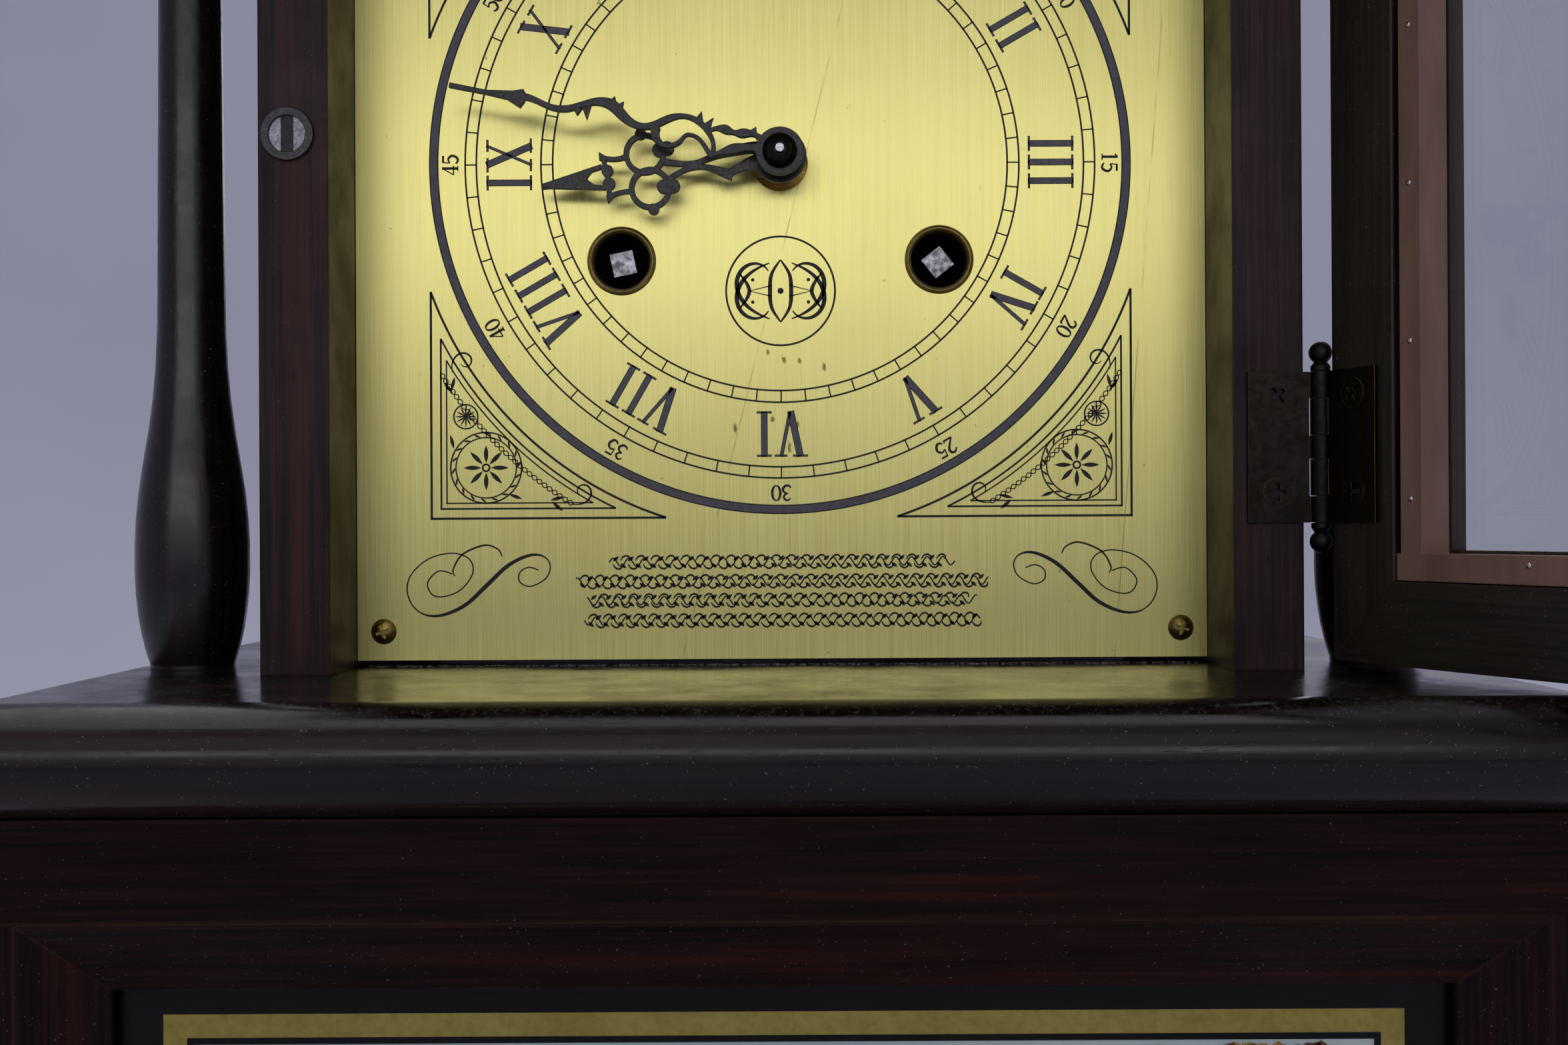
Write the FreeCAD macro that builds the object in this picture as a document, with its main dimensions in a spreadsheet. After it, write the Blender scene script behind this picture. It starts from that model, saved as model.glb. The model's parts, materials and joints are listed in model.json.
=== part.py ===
import FreeCAD, Part
import math
import os

import Sketcher
from FreeCAD import Placement, Rotation, Vector

# Pillar shelf clock: a base box with a framed picture panel, a ledge that carries two turned
# columns and the hood, a sheet brass dial, a hinged glazed front door and a two-train movement.
# Frame: origin at the middle of the plinth's underside, X to the clock's right as seen from
# the front, the front faces -Y, Z up. All sizes are in millimetres.

SIZES = {
    # base box
    "base_half_width": 117.0,
    "base_half_depth": 70.0,
    "plinth_thickness": 22.0,
    "base_box_height": 186.5,
    "base_board": 10.0,
    "base_back_board": 6.0,
    "ledge_thickness": 16.5,
    "ledge_overhang": 6.0,
    "ledge_nose": 8.2,
    # picture panel in the front of the base
    "rail_width": 14.8,
    "stile_width": 7.4,
    "moulding_width": 11.2,
    "moulding_drop": 6.5,
    "moulding_back": 8.0,
    "panel_glass_thickness": 2.0,
    "picture_thickness": 3.0,
    "picture_half_width": 113.0,
    # hood and cap
    "hood_half_width": 88.1,
    "hood_board": 11.8,
    "hood_height": 183.0,
    "hood_front": 27.3,
    "hood_rear": 61.0,
    "cap_thickness": 14.0,
    "cap_half_width": 104.0,
    "cap_front": 58.0,
    "cap_chamfer": 8.0,
    # columns
    "column_offset": 105.7,
    "column_foot_radius": 7.2,
    "column_bulb_radius": 9.8,
    "column_shaft_radius": 5.75,
    "column_neck_radius": 5.3,
    # dial
    "dial_front": 10.0,
    "dial_thickness": 1.0,
    "dial_width": 152.4,
    "dial_length": 177.8,
    "dial_gap": 1.1,
    "dial_centre_hole": 5.0,
    "dial_screw_x": 71.5,
    "dial_screw_z": 83.7,
    "dial_screw_hole": 1.2,
    "batten_width": 10.0,
    "eyelet_outer_radius": 6.2,
    "eyelet_tube_radius": 5.45,
    "eyelet_inner_radius": 5.05,
    "eyelet_rim": 0.7,
    # front door
    "door_hinge_x": 90.8,
    "door_gap": 1.6,
    "door_edge_offset": 1.9,
    "door_clearance": 2.0,
    "door_thickness": 11.0,
    "door_member": 13.5,
    "door_lip_width": 5.0,
    "door_lip_thickness": 3.0,
    "door_glass_thickness": 1.8,
    "bead_width": 4.3,
    "bead_gap": 0.9,
    "door_open_angle": 114.0,
    "knob_radius": 4.5,
    "knob_length": 10.0,
    # hinges
    "leaf_reach": 12.2,
    "leaf_thickness": 0.75,
    "leaf_height": 25.4,
    "knuckle_radius": 1.7,
    "hinge_pin_radius": 0.75,
    "hinge_pin_clearance": 0.05,
    "hinge_end_distance": 37.7,
    "finial_radius": 1.9,
    "hinge_screw_radius": 2.45,
    # magnetic catch
    "catch_x": 83.1,
    "catch_radius": 4.45,
    "catch_bore": 3.15,
    "catch_depth": 12.0,
    "catch_stand": 0.6,
    "magnet_width": 2.1,
    # rear door
    "rear_door_thickness": 7.4,
    "button_length": 26.0,
    "button_width": 7.0,
    "button_thickness": 2.0,
    "button_eye_radius": 4.5,
    # movement
    "plate_thickness": 2.0,
    "plate_spacing": 34.0,
    "plate_half_width": 52.0,
    "plate_bottom": 50.0,
    "plate_top": 62.0,
    "pillar_radius": 3.0,
    "pivot_clearance": 0.05,
    "barrel_radius": 18.0,
    "barrel_wall": 1.0,
    "winding_arbor_radius": 3.0,
    "winding_square": 4.2,
    "winding_x": 28.5,
    "winding_drop": 17.4,
    "pallet_height": 45.0,
    "pendulum_length": 105.0,
    "bob_radius": 18.0,
    "bob_thickness": 7.0,
    "rod_radius": 1.6,
    # hands
    "minute_hand_length": 58.5,
    "hour_hand_length": 42.0,
    "hand_thickness": 1.0,
    "hand_boss_radius": 4.7,
    "minute_angle": 281.6,
    "hour_angle": 263.0,
}

doc = FreeCAD.newDocument("pillar_shelf_clock")
sheet = doc.addObject("Spreadsheet::Sheet", "Sizes")
for row, (alias, number) in enumerate(SIZES.items(), start=1):
    sheet.set(f"A{row}", alias)
    sheet.set(f"B{row}", str(number))
    sheet.setAlias(f"B{row}", alias)
doc.recompute()


class Size:
    """A length that carries both its number and the spreadsheet expression behind it."""

    def __init__(self, number, text):
        self.number = number
        self.text = text

    def combined(self, other, sign):
        other = as_size(other)
        numbers = {"+": self.number + other.number, "-": self.number - other.number,
                   "*": self.number * other.number}
        return Size(numbers[sign], f"({self.text} {sign} {other.text})")

    def __add__(self, other):
        return self.combined(other, "+")

    def __sub__(self, other):
        return self.combined(other, "-")

    def __mul__(self, other):
        return self.combined(other, "*")

    def __radd__(self, other):
        return as_size(other) + self

    def __rsub__(self, other):
        return as_size(other) - self

    def __rmul__(self, other):
        return as_size(other) * self

    def __neg__(self):
        return as_size(-1) * self

    def __truediv__(self, divisor):
        return self * (1.0 / divisor)


def as_size(amount):
    """Wrap a plain number so that it mixes with sheet sizes."""
    if isinstance(amount, Size):
        return amount
    return Size(float(amount), repr(float(amount)))


class SheetSizes:
    """Attribute access to the sheet: sizes.hood_height is a Size bound to that cell."""

    def __getattr__(self, alias):
        return Size(float(sheet.get(alias)), f"Sizes.{alias}")


sizes = SheetSizes()
subparts = []


def num(amount):
    return as_size(amount).number


def vec(x, y, z):
    return Vector(num(x), num(y), num(z))


# ---------------------------------------------------------------- modelling helpers

def bind_position(obj, x, y, z):
    """Bind an object's place to sheet expressions."""
    for axis, amount in zip("xyz", (x, y, z)):
        obj.setExpression(f"Placement.Base.{axis}", as_size(amount).text)


def box(name, lengths, corner):
    """A rectangular block bound to the sheet, from its lowest corner."""
    block = doc.addObject("Part::Box", name)
    for prop, amount in zip(("Length", "Width", "Height"), lengths):
        block.setExpression(prop, as_size(amount).text)
    bind_position(block, *corner)
    return block


def rod(name, radius, length, start, direction=(0, 0, 1)):
    """A bound cylinder that starts at a point and runs along a direction."""
    cylinder = doc.addObject("Part::Cylinder", name)
    cylinder.setExpression("Radius", as_size(radius).text)
    cylinder.setExpression("Height", as_size(length).text)
    cylinder.Placement = Placement(Vector(), Rotation(Vector(0, 0, 1), Vector(*direction)))
    bind_position(cylinder, *start)
    return cylinder


def cut(name, base, tool):
    result = doc.addObject("Part::Cut", name)
    result.Base = base
    result.Tool = tool
    return result


def fuse(name, pieces):
    result = doc.addObject("Part::MultiFuse", name)
    result.Shapes = pieces
    return result


def common(name, pieces):
    result = doc.addObject("Part::MultiCommon", name)
    result.Shapes = pieces
    return result


def group(name, pieces):
    """Several separate solids in one sub-part."""
    result = doc.addObject("Part::Compound", name)
    result.Links = pieces
    return result


def feature(name, shape):
    """A sub-part whose shape comes straight from Part's functions."""
    result = doc.addObject("Part::Feature", name)
    result.Shape = shape
    return result


def keep(obj, label):
    """Register a finished sub-part under its own name."""
    obj.Label = label
    subparts.append(obj)
    return obj


def new_body(name):
    return doc.addObject("PartDesign::Body", name)


def sketch_on(body, role, name):
    """A sketch on one of the body's own origin planes."""
    sketch = body.newObject("Sketcher::SketchObject", name)
    plane = next(item for item in body.Origin.OriginFeatures if item.Role == role)
    sketch.AttachmentSupport = (plane, [""])
    sketch.MapMode = "FlatFace"
    return sketch


def bind_point(sketch, geometry, point, x, y):
    """Bind both coordinates of one sketch point to the sheet."""
    for kind, axis, amount in (("DistanceX", -2, as_size(x)), ("DistanceY", -1, as_size(y))):
        if amount.number == 0.0:
            sketch.addConstraint(Sketcher.Constraint("PointOnObject", geometry, point, axis))
            continue
        index = sketch.addConstraint(
            Sketcher.Constraint(kind, -1, 1, geometry, point, amount.number))
        sketch.setExpression(f"Constraints[{index}]", amount.text)


def add_loop(sketch, corners):
    """A closed outline of straight lines through bound corners."""
    ends = corners[1:] + corners[:1]
    lines = [Part.LineSegment(vec(*start, 0), vec(*end, 0)) for start, end in zip(corners, ends)]
    indices = sketch.addGeometry(lines, False)
    for order, index in enumerate(indices):
        following = indices[(order + 1) % len(indices)]
        sketch.addConstraint(Sketcher.Constraint("Coincident", index, 2, following, 1))
    for index, (x, y) in zip(indices, corners):
        bind_point(sketch, index, 1, x, y)


def add_circle(sketch, x, y, radius):
    """A circle with bound centre and radius."""
    circle = Part.Circle(vec(x, y, 0), Vector(0, 0, 1), num(radius))
    index = sketch.addGeometry(circle, False)
    bind_point(sketch, index, 3, x, y)
    bound = sketch.addConstraint(Sketcher.Constraint("Radius", index, num(radius)))
    sketch.setExpression(f"Constraints[{bound}]", as_size(radius).text)


def padded(name, role, corners, length, holes=()):
    """A body padded from one closed outline with optional round holes."""
    body = new_body(name)
    sketch = sketch_on(body, role, f"{name}_sketch")
    add_loop(sketch, corners)
    for hole in holes:
        add_circle(sketch, *hole)
    pad = body.newObject("PartDesign::Pad", f"{name}_pad")
    pad.Profile = sketch
    pad.setExpression("Length", as_size(length).text)
    sketch.Visibility = False
    return body


def revolved(name, corners):
    """A body turned about its own Z axis from an outline of (radius, height) corners."""
    body = new_body(name)
    sketch = sketch_on(body, "XZ_Plane", f"{name}_sketch")
    add_loop(sketch, corners)
    turning = body.newObject("PartDesign::Revolution", f"{name}_turning")
    turning.Profile = sketch
    turning.ReferenceAxis = (sketch, ["V_Axis"])
    turning.Angle = 360
    return body


def rectangle(half_width, bottom, top):
    return [(-half_width, bottom), (half_width, bottom), (half_width, top), (-half_width, top)]


def edges_where(body, test):
    """Names of the body's edges whose two ends both pass a test."""
    doc.recompute()
    return [f"Edge{order}" for order, edge in enumerate(body.Shape.Edges, start=1)
            if all(test(vertex.Point) for vertex in edge.Vertexes)]


def dress(body, kind, edge_names, **amounts):
    """Add a fillet or chamfer feature on named edges of a body."""
    padding = body.Tip
    dressing = body.newObject(f"PartDesign::{kind}", f"{body.Name}_{kind}")
    dressing.Base = (padding, edge_names)
    for prop, amount in amounts.items():
        dressing.setExpression(prop, as_size(amount).text)


# ---------------------------------------------------------------- derived places

ledge_top = sizes.plinth_thickness + sizes.base_box_height + sizes.ledge_thickness
hood_top = ledge_top + sizes.hood_height
hand_z = ledge_top + sizes.dial_gap + sizes.dial_length / 2
dial_back = -sizes.dial_front + sizes.dial_thickness
jamb_half = sizes.hood_half_width - sizes.hood_board
hinge_y = -(sizes.hood_front + sizes.door_gap / 2)
rear_hinge_y = sizes.hood_rear + sizes.door_gap / 2
door_inside = -(sizes.hood_front + sizes.door_gap)
door_right = sizes.door_hinge_x - sizes.door_edge_offset
door_left = -sizes.door_hinge_x + sizes.door_edge_offset
door_bottom = ledge_top + sizes.door_clearance
door_top = hood_top - sizes.door_clearance
catch_z = ledge_top + sizes.hood_height / 2
plate_front = 0.0
back_plate_front = plate_front + sizes.plate_thickness + sizes.plate_spacing
pallet_z = hand_z + sizes.pallet_height
DOOR_PLACE = Placement(Vector(), Rotation(Vector(0, 0, 1), num(sizes.door_open_angle)),
                       vec(sizes.door_hinge_x, hinge_y, 0))


# ---------------------------------------------------------------- base box

def nosed_board(label, bottom, thickness):
    """A board whose front and side edges are rounded to a bullnose; the back edge is square."""
    half_width = sizes.base_half_width + sizes.ledge_overhang
    front = sizes.base_half_depth + sizes.ledge_overhang
    corners = rectangle(half_width, -front, sizes.base_half_depth)
    body = padded(label, "XY_Plane", corners, thickness)
    back = num(sizes.base_half_depth)
    high = num(thickness)

    def on_nose(point):
        return point.y < back - 0.01 or abs(point.x) > num(half_width) - 0.01

    names = [name for name in edges_where(body, on_nose)
             if not is_on_back(body, name, back) and is_level(body, name, high)]
    dress(body, "Fillet", names, Radius=sizes.ledge_nose)
    bind_position(body, 0, 0, bottom)
    return keep(body, label)


def is_level(body, name, high):
    """True for an edge that lies in the board's top or bottom face."""
    heights = {round(vertex.Point.z, 3) for vertex in body.Shape.getElement(name).Vertexes}
    return heights == {0.0} or heights == {round(high, 3)}


def is_on_back(body, name, back):
    return all(abs(vertex.Point.y - back) < 0.01
               for vertex in body.Shape.getElement(name).Vertexes)


def base_boards():
    """Plinth, ledge, the two sides, the back and the front frame."""
    nosed_board("plinth_board", 0, sizes.plinth_thickness)
    nosed_board("ledge_board", ledge_top - sizes.ledge_thickness, sizes.ledge_thickness)
    depth = 2 * sizes.base_half_depth - sizes.base_board - sizes.base_back_board
    front = -sizes.base_half_depth + sizes.base_board
    sides = [box(f"base_side_{word}", (sizes.base_board, depth, sizes.base_box_height),
                 (x, front, sizes.plinth_thickness))
             for word, x in (("left", -sizes.base_half_width),
                             ("right", sizes.base_half_width - sizes.base_board))]
    keep(group("base_sides", sides), "base_sides")
    keep(box("base_back", (2 * sizes.base_half_width, sizes.base_back_board,
                           sizes.base_box_height),
             (-sizes.base_half_width, sizes.base_half_depth - sizes.base_back_board,
              sizes.plinth_thickness)), "base_back")


def base_face_frame():
    """Two rails and two stiles, flush, round the picture opening."""
    front = -sizes.base_half_depth
    low = sizes.plinth_thickness
    high = low + sizes.base_box_height - sizes.rail_width
    members = []
    for word, z in (("bottom", low), ("top", high)):
        members.append(box(f"frame_rail_{word}",
                           (2 * sizes.base_half_width, sizes.base_board, sizes.rail_width),
                           (-sizes.base_half_width, front, z)))
    stile_height = sizes.base_box_height - 2 * sizes.rail_width
    for word, x in (("left", -sizes.base_half_width),
                    ("right", sizes.base_half_width - sizes.stile_width)):
        members.append(box(f"frame_stile_{word}",
                           (sizes.stile_width, sizes.base_board, stile_height),
                           (x, front, low + sizes.rail_width)))
    keep(group("base_face_frame", members), "base_face_frame")


def mitred_strip(name, half_length, width, thickness):
    """A strip with 45 degree ends: long edge at the bottom, short edge at the top."""
    inner = half_length - width
    corners = [(-half_length, 0), (half_length, 0), (inner, width), (-inner, width)]
    return padded(name, "XZ_Plane", corners, thickness)


def spun(x, y, z, turn):
    """A placement turned in the front plane: turn degrees anticlockwise seen from the front."""
    return Placement(vec(x, y, z), Rotation(Vector(0, -1, 0), turn))


def panel_moulding():
    """Four mitred strips whose faces slope back towards the picture glass."""
    half_width = sizes.base_half_width - sizes.stile_width
    half_height = sizes.base_box_height / 2 - sizes.rail_width
    middle = sizes.plinth_thickness + sizes.base_box_height / 2
    back = sizes.moulding_back
    section = [(0, 0), (-back, 0), (-back, 0.6), (sizes.moulding_drop - back, sizes.moulding_width),
               (0, sizes.moulding_width)]
    strips = []
    for word, turn, half_length, reach in (("bottom", 0, half_width, half_height),
                                           ("right", 90, half_height, half_width),
                                           ("top", 180, half_width, half_height),
                                           ("left", 270, half_height, half_width)):
        blank = mitred_strip(f"moulding_{word}_blank", half_length, sizes.moulding_width, back)
        slope = padded(f"moulding_{word}_slope", "YZ_Plane", section, 2 * half_length)
        bind_position(slope, -half_length, 0, 0)
        strip = common(f"moulding_{word}", [blank, slope])
        angle = math.radians(turn)
        strip.Placement = spun(num(reach) * math.sin(angle), back - sizes.base_half_depth,
                               num(middle) - num(reach) * math.cos(angle), turn)
        strips.append(strip)
    keep(group("panel_moulding", strips), "panel_moulding")


def picture():
    """The clear panel glass and the printed board behind it."""
    half_width = sizes.base_half_width - sizes.stile_width - 0.4
    low = sizes.plinth_thickness + sizes.rail_width + 0.4
    height = sizes.base_box_height - 2 * sizes.rail_width - 0.8
    front = -sizes.base_half_depth + sizes.moulding_back
    keep(box("panel_glass", (2 * half_width, sizes.panel_glass_thickness, height),
             (-half_width, front, low)), "panel_glass")
    keep(box("picture_panel", (2 * sizes.picture_half_width - 14, sizes.picture_thickness,
                               height - 2),
             (-sizes.picture_half_width + 7, front + sizes.panel_glass_thickness, low + 1)),
         "picture_panel")


# ---------------------------------------------------------------- hood, columns and cap

def hood_boards():
    """The two hood sides, the left one bored for the catch, the cornice and the cap."""
    depth = sizes.hood_front + sizes.hood_rear
    lengths = (sizes.hood_board, depth, sizes.hood_height)
    left = box("hood_left_blank", lengths, (-sizes.hood_half_width, -sizes.hood_front, ledge_top))
    bore = rod("catch_socket", sizes.catch_radius, sizes.catch_depth,
               (-sizes.catch_x, -sizes.hood_front, catch_z), (0, 1, 0))
    right = box("hood_right_side", lengths, (jamb_half, -sizes.hood_front, ledge_top))
    keep(group("hood_sides", [cut("hood_left_side", left, bore), right]), "hood_sides")
    nosed_board("cornice_board", hood_top, sizes.ledge_thickness)
    cap = padded("top_cap", "XY_Plane",
                 rectangle(sizes.cap_half_width, -sizes.cap_front, sizes.base_half_depth),
                 sizes.cap_thickness)
    high = num(sizes.cap_thickness)
    back = num(sizes.base_half_depth)
    names = [name for name in edges_where(cap, lambda point: abs(point.z - high) < 0.01)
             if not is_on_back(cap, name, back)]
    dress(cap, "Chamfer", names, Size=sizes.cap_chamfer)
    bind_position(cap, 0, 0, hood_top + sizes.ledge_thickness)
    keep(cap, "top_cap")


def columns():
    """Two turned columns: a foot, a long bulb, a slim shaft, a neck ring and a cap."""
    high = num(sizes.hood_height)
    foot = num(sizes.column_foot_radius)
    bulb = num(sizes.column_bulb_radius)
    shaft = num(sizes.column_shaft_radius)
    neck = num(sizes.column_neck_radius)
    curve_points = [Vector(foot, 0, 0.8), Vector(bulb * 0.93, 0, 9), Vector(bulb, 0, 19),
                    Vector(bulb * 0.93, 0, 31), Vector(shaft * 1.27, 0, 43),
                    Vector(shaft * 1.06, 0, 55), Vector(shaft, 0, 70),
                    Vector(neck, 0, high - 32), Vector(neck, 0, high - 18)]
    curve = Part.BSplineCurve()
    curve.interpolate(curve_points)
    ring = neck + 2.2
    corners = [(neck, high - 18), (ring, high - 17), (ring + 0.5, high - 15.5),
               (ring, high - 14), (neck + 0.4, high - 13), (neck + 0.4, high - 8),
               (foot, high - 3.5), (foot + 0.8, high - 3.5), (foot + 0.8, high), (0, high),
               (0, 0), (foot, 0), (foot, 0.8)]
    points = [Vector(radius, 0, z) for radius, z in corners]
    edges = [curve.toShape()]
    edges += [Part.makeLine(start, end) for start, end in zip(points, points[1:])]
    profile = Part.Face(Part.Wire(Part.__sortEdges__(edges)))
    turned = profile.revolve(Vector(), Vector(0, 0, 1), 360)
    pair = []
    for sign in (-1, 1):
        column = turned.copy()
        column.Placement = Placement(vec(sign * sizes.column_offset, -sizes.dial_front, ledge_top),
                                     Rotation())
        pair.append(column)
    keep(feature("columns", Part.makeCompound(pair)), "columns")


# ---------------------------------------------------------------- dial

def dial():
    """Brass dial sheet with its holes, the battens behind it, eyelets and corner screws."""
    half_width = sizes.dial_width / 2
    half_length = sizes.dial_length / 2
    holes = [(0, 0, sizes.dial_centre_hole)]
    holes += [(sign * sizes.winding_x, -sizes.winding_drop, sizes.eyelet_tube_radius)
              for sign in (-1, 1)]
    corners = [(x * sizes.dial_screw_x, z * sizes.dial_screw_z)
               for x in (-1, 1) for z in (-1, 1)]
    holes += [(x, z, sizes.dial_screw_hole) for x, z in corners]
    plate = padded("dial_plate", "XZ_Plane", rectangle(half_width, -half_length, half_length),
                   sizes.dial_thickness, holes)
    bind_position(plate, 0, dial_back, hand_z)
    keep(plate, "dial_plate")

    battens = [box(f"batten_{word}", (sizes.batten_width, -dial_back, sizes.dial_length), (x, dial_back,
                   hand_z - half_length))
               for word, x in (("left", -jamb_half), ("right", jamb_half - sizes.batten_width))]
    keep(group("dial_battens", battens), "dial_battens")

    eyelets = []
    rim = sizes.eyelet_rim
    depth = sizes.dial_thickness + 2.0
    for word, sign in (("left", -1), ("right", 1)):
        eyelet = revolved(f"eyelet_{word}", [
            (sizes.eyelet_inner_radius, -depth), (sizes.eyelet_tube_radius, -depth),
            (sizes.eyelet_tube_radius, 0), (sizes.eyelet_outer_radius, 0),
            (sizes.eyelet_outer_radius - 0.25, rim * 0.7), (sizes.eyelet_outer_radius - 0.6, rim),
            (sizes.eyelet_inner_radius + 0.3, rim * 0.8), (sizes.eyelet_inner_radius, 0)])
        eyelet.Placement.Rotation = Rotation(Vector(1, 0, 0), 90)
        bind_position(eyelet, sign * sizes.winding_x, -sizes.dial_front,
                      hand_z - sizes.winding_drop)
        eyelets.append(eyelet)
    keep(group("winding_eyelets", eyelets), "winding_eyelets")

    screws = [placed(dome_screw(2.3, 1.3, 1.0, 7.0), x, -sizes.dial_front, hand_z + z, turn)
              for (x, z), turn in zip(corners, (20, 55, 75, 5))]
    keep(feature("dial_screws", Part.makeCompound(screws)), "dial_screws")


def placed(shape, x, y, z, turn=0.0):
    """Copy a shape made along +Z so that its +Z faces the front, turned about that axis."""
    copy = shape.copy()
    upright = Rotation(Vector(1, 0, 0), 90)
    copy.Placement = Placement(vec(x, y, z), upright * Rotation(Vector(0, 0, 1), turn))
    return copy


def cross_recess(span, width, depth, top):
    """The two crossed slots of a cross-head screw, reaching down from the top."""
    bars = [Part.makeBox(span, width, depth, Vector(-span / 2, -width / 2, top - depth)),
            Part.makeBox(width, span, depth, Vector(-width / 2, -span / 2, top - depth))]
    return bars[0].fuse(bars[1])


def dome_screw(head_radius, head_height, shank_radius, length):
    """A dome-headed cross-recess wood screw standing on z = 0."""
    ball_radius = (head_radius ** 2 + head_height ** 2) / (2 * head_height)
    ball = Part.makeSphere(ball_radius, Vector(0, 0, head_height - ball_radius))
    head = ball.common(Part.makeCylinder(head_radius, head_height))
    body = head.fuse(Part.makeCylinder(shank_radius, length, Vector(0, 0, -length)))
    return body.cut(cross_recess(head_radius * 1.1, 0.55, 0.8, head_height)).removeSplitter()


def flush_screw(head_radius, shank_radius, length):
    """A countersunk cross-head screw whose head is flush with z = 0."""
    head_height = head_radius - shank_radius
    head = Part.makeCone(shank_radius, head_radius, head_height, Vector(0, 0, -head_height))
    body = head.fuse(Part.makeCylinder(shank_radius, length, Vector(0, 0, -length)))
    return body.cut(cross_recess(head_radius * 1.25, 0.75, 1.0, 0)).removeSplitter()


# ---------------------------------------------------------------- catch

def catch():
    """Round magnetic catch in the left jamb: housing, magnet bar and two pole pieces."""
    x, y, z = -sizes.catch_x, -sizes.hood_front + sizes.catch_depth, catch_z
    depth = sizes.catch_depth + sizes.catch_stand
    tube = cut("catch_housing", rod("catch_tube", sizes.catch_radius, depth, (x, y, z), (0, -1, 0)),
               rod("catch_tube_bore", sizes.catch_bore, depth - 1, (x, y - 1, z), (0, -1, 0)))
    keep(tube, "catch_housing")
    core_length = depth - 1.4
    half = num(sizes.magnet_width) / 2
    radius = num(sizes.catch_bore)
    core = Part.makeCylinder(radius, num(core_length), vec(x, y - 1, z), Vector(0, -1, 0))
    bar = Part.makeBox(2 * half, num(core_length), 2 * radius,
                       vec(x - half, y - 1 - core_length, z - radius))
    keep(feature("catch_magnet", core.common(bar)), "catch_magnet")
    keep(feature("catch_poles", core.cut(bar)), "catch_poles")


# ---------------------------------------------------------------- hinges

CASE_KNUCKLES = ((0.0, 4.5), (10.7, 4.0), (20.9, 4.5))
DOOR_KNUCKLES = ((4.5, 6.2), (14.7, 6.2))
AXIAL_PLAY = 0.05


def hinge_leaf(axis_x, axis_y, centre_z, towards, behind, knuckles):
    """One leaf: a plate that runs from the pin line, with curled knuckles at given heights.

    towards is -1 or 1, the X direction the plate runs in from the pin; behind is -1 or 1,
    the Y side of the pin line that the plate lies on.
    """
    thick = num(sizes.leaf_thickness)
    half_gap = num(sizes.door_gap) / 2
    reach = num(sizes.leaf_reach)
    radius = num(sizes.knuckle_radius)
    clear = num(sizes.door_edge_offset)
    low = num(centre_z) - num(sizes.leaf_height) / 2
    far_y = behind * half_gap
    near_y = far_y - behind * thick

    def slab(start, end, bottom, height):
        x0, x1 = sorted((towards * start, towards * end))
        y0, y1 = sorted((near_y, far_y))
        return Part.makeBox(x1 - x0, y1 - y0, height,
                            vec(axis_x + x0, axis_y + y0, bottom))

    leaf = slab(clear, reach, low, num(sizes.leaf_height))
    for start, height in knuckles:
        bottom = low + start + AXIAL_PLAY
        tall = height - 2 * AXIAL_PLAY
        leaf = leaf.fuse([slab(radius * 0.5, clear + 0.1, bottom, tall),
                          Part.makeCylinder(radius, tall, vec(axis_x, axis_y, bottom))])
    bore = Part.makeCylinder(num(sizes.hinge_pin_radius + sizes.hinge_pin_clearance), 60,
                             vec(axis_x, axis_y, low - 10))
    return leaf.cut(bore).removeSplitter()


def leaf_screws(axis_x, axis_y, centre_z, towards, facing, length):
    """Two countersunk screws in a leaf, their heads towards -facing Y of the wood."""
    surface = axis_y + facing * (sizes.door_gap / 2 - sizes.leaf_thickness)
    screws = []
    for drop, turn in ((8.7, 40), (-7.6, 0)):
        screw = flush_screw(num(sizes.hinge_screw_radius), 1.0, length)
        screw.Placement = Placement(
            vec(axis_x + towards * 7.3, surface, centre_z + drop),
            Rotation(Vector(1, 0, 0), 90 * facing) * Rotation(Vector(0, 0, 1), turn))
        screws.append(screw)
    return screws


def countersunk(leaf, screws):
    """Cut a leaf with the outer shape of its screws, so that they sit in it without overlap."""
    for screw in screws:
        centre = screw.Placement.Base
        outward = screw.Placement.Rotation.multVec(Vector(0, 0, 1))
        radius = num(sizes.hinge_screw_radius)
        cone = Part.makeCone(radius, 0.2, radius - 0.2, centre, -outward)
        leaf = leaf.cut(cone).cut(Part.makeCylinder(1.0, 12, centre, -outward))
    return leaf


def finial_pin(axis_x, axis_y, centre_z):
    """A hinge pin with a collar, a waist and a ball at each end."""
    half = num(sizes.leaf_height) / 2
    radius = num(sizes.finial_radius)
    pin_radius = num(sizes.hinge_pin_radius)
    corners = [(0, half), (pin_radius, half), (radius * 0.85, half + 0.1), (radius * 0.85, half + 0.9),
               (radius * 0.5, half + 1.8)]
    points = [Vector(r, 0, z) for r, z in corners]
    ball_centre = half + 3.2
    ball = Part.makeSphere(radius, Vector(0, 0, ball_centre))
    outline = Part.makePolygon(points + [Vector(0, 0, half + 1.8), points[0]])
    collar = Part.Face(outline).revolve(Vector(), Vector(0, 0, 1), 360)
    end = collar.fuse(ball)
    other = end.mirror(Vector(), Vector(0, 0, 1))
    shaft = Part.makeCylinder(pin_radius, 2 * half + 0.2, Vector(0, 0, -half - 0.1))
    pin = shaft.fuse([end, other])
    pin.Placement = Placement(vec(axis_x, axis_y, centre_z), Rotation())
    return pin


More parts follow.
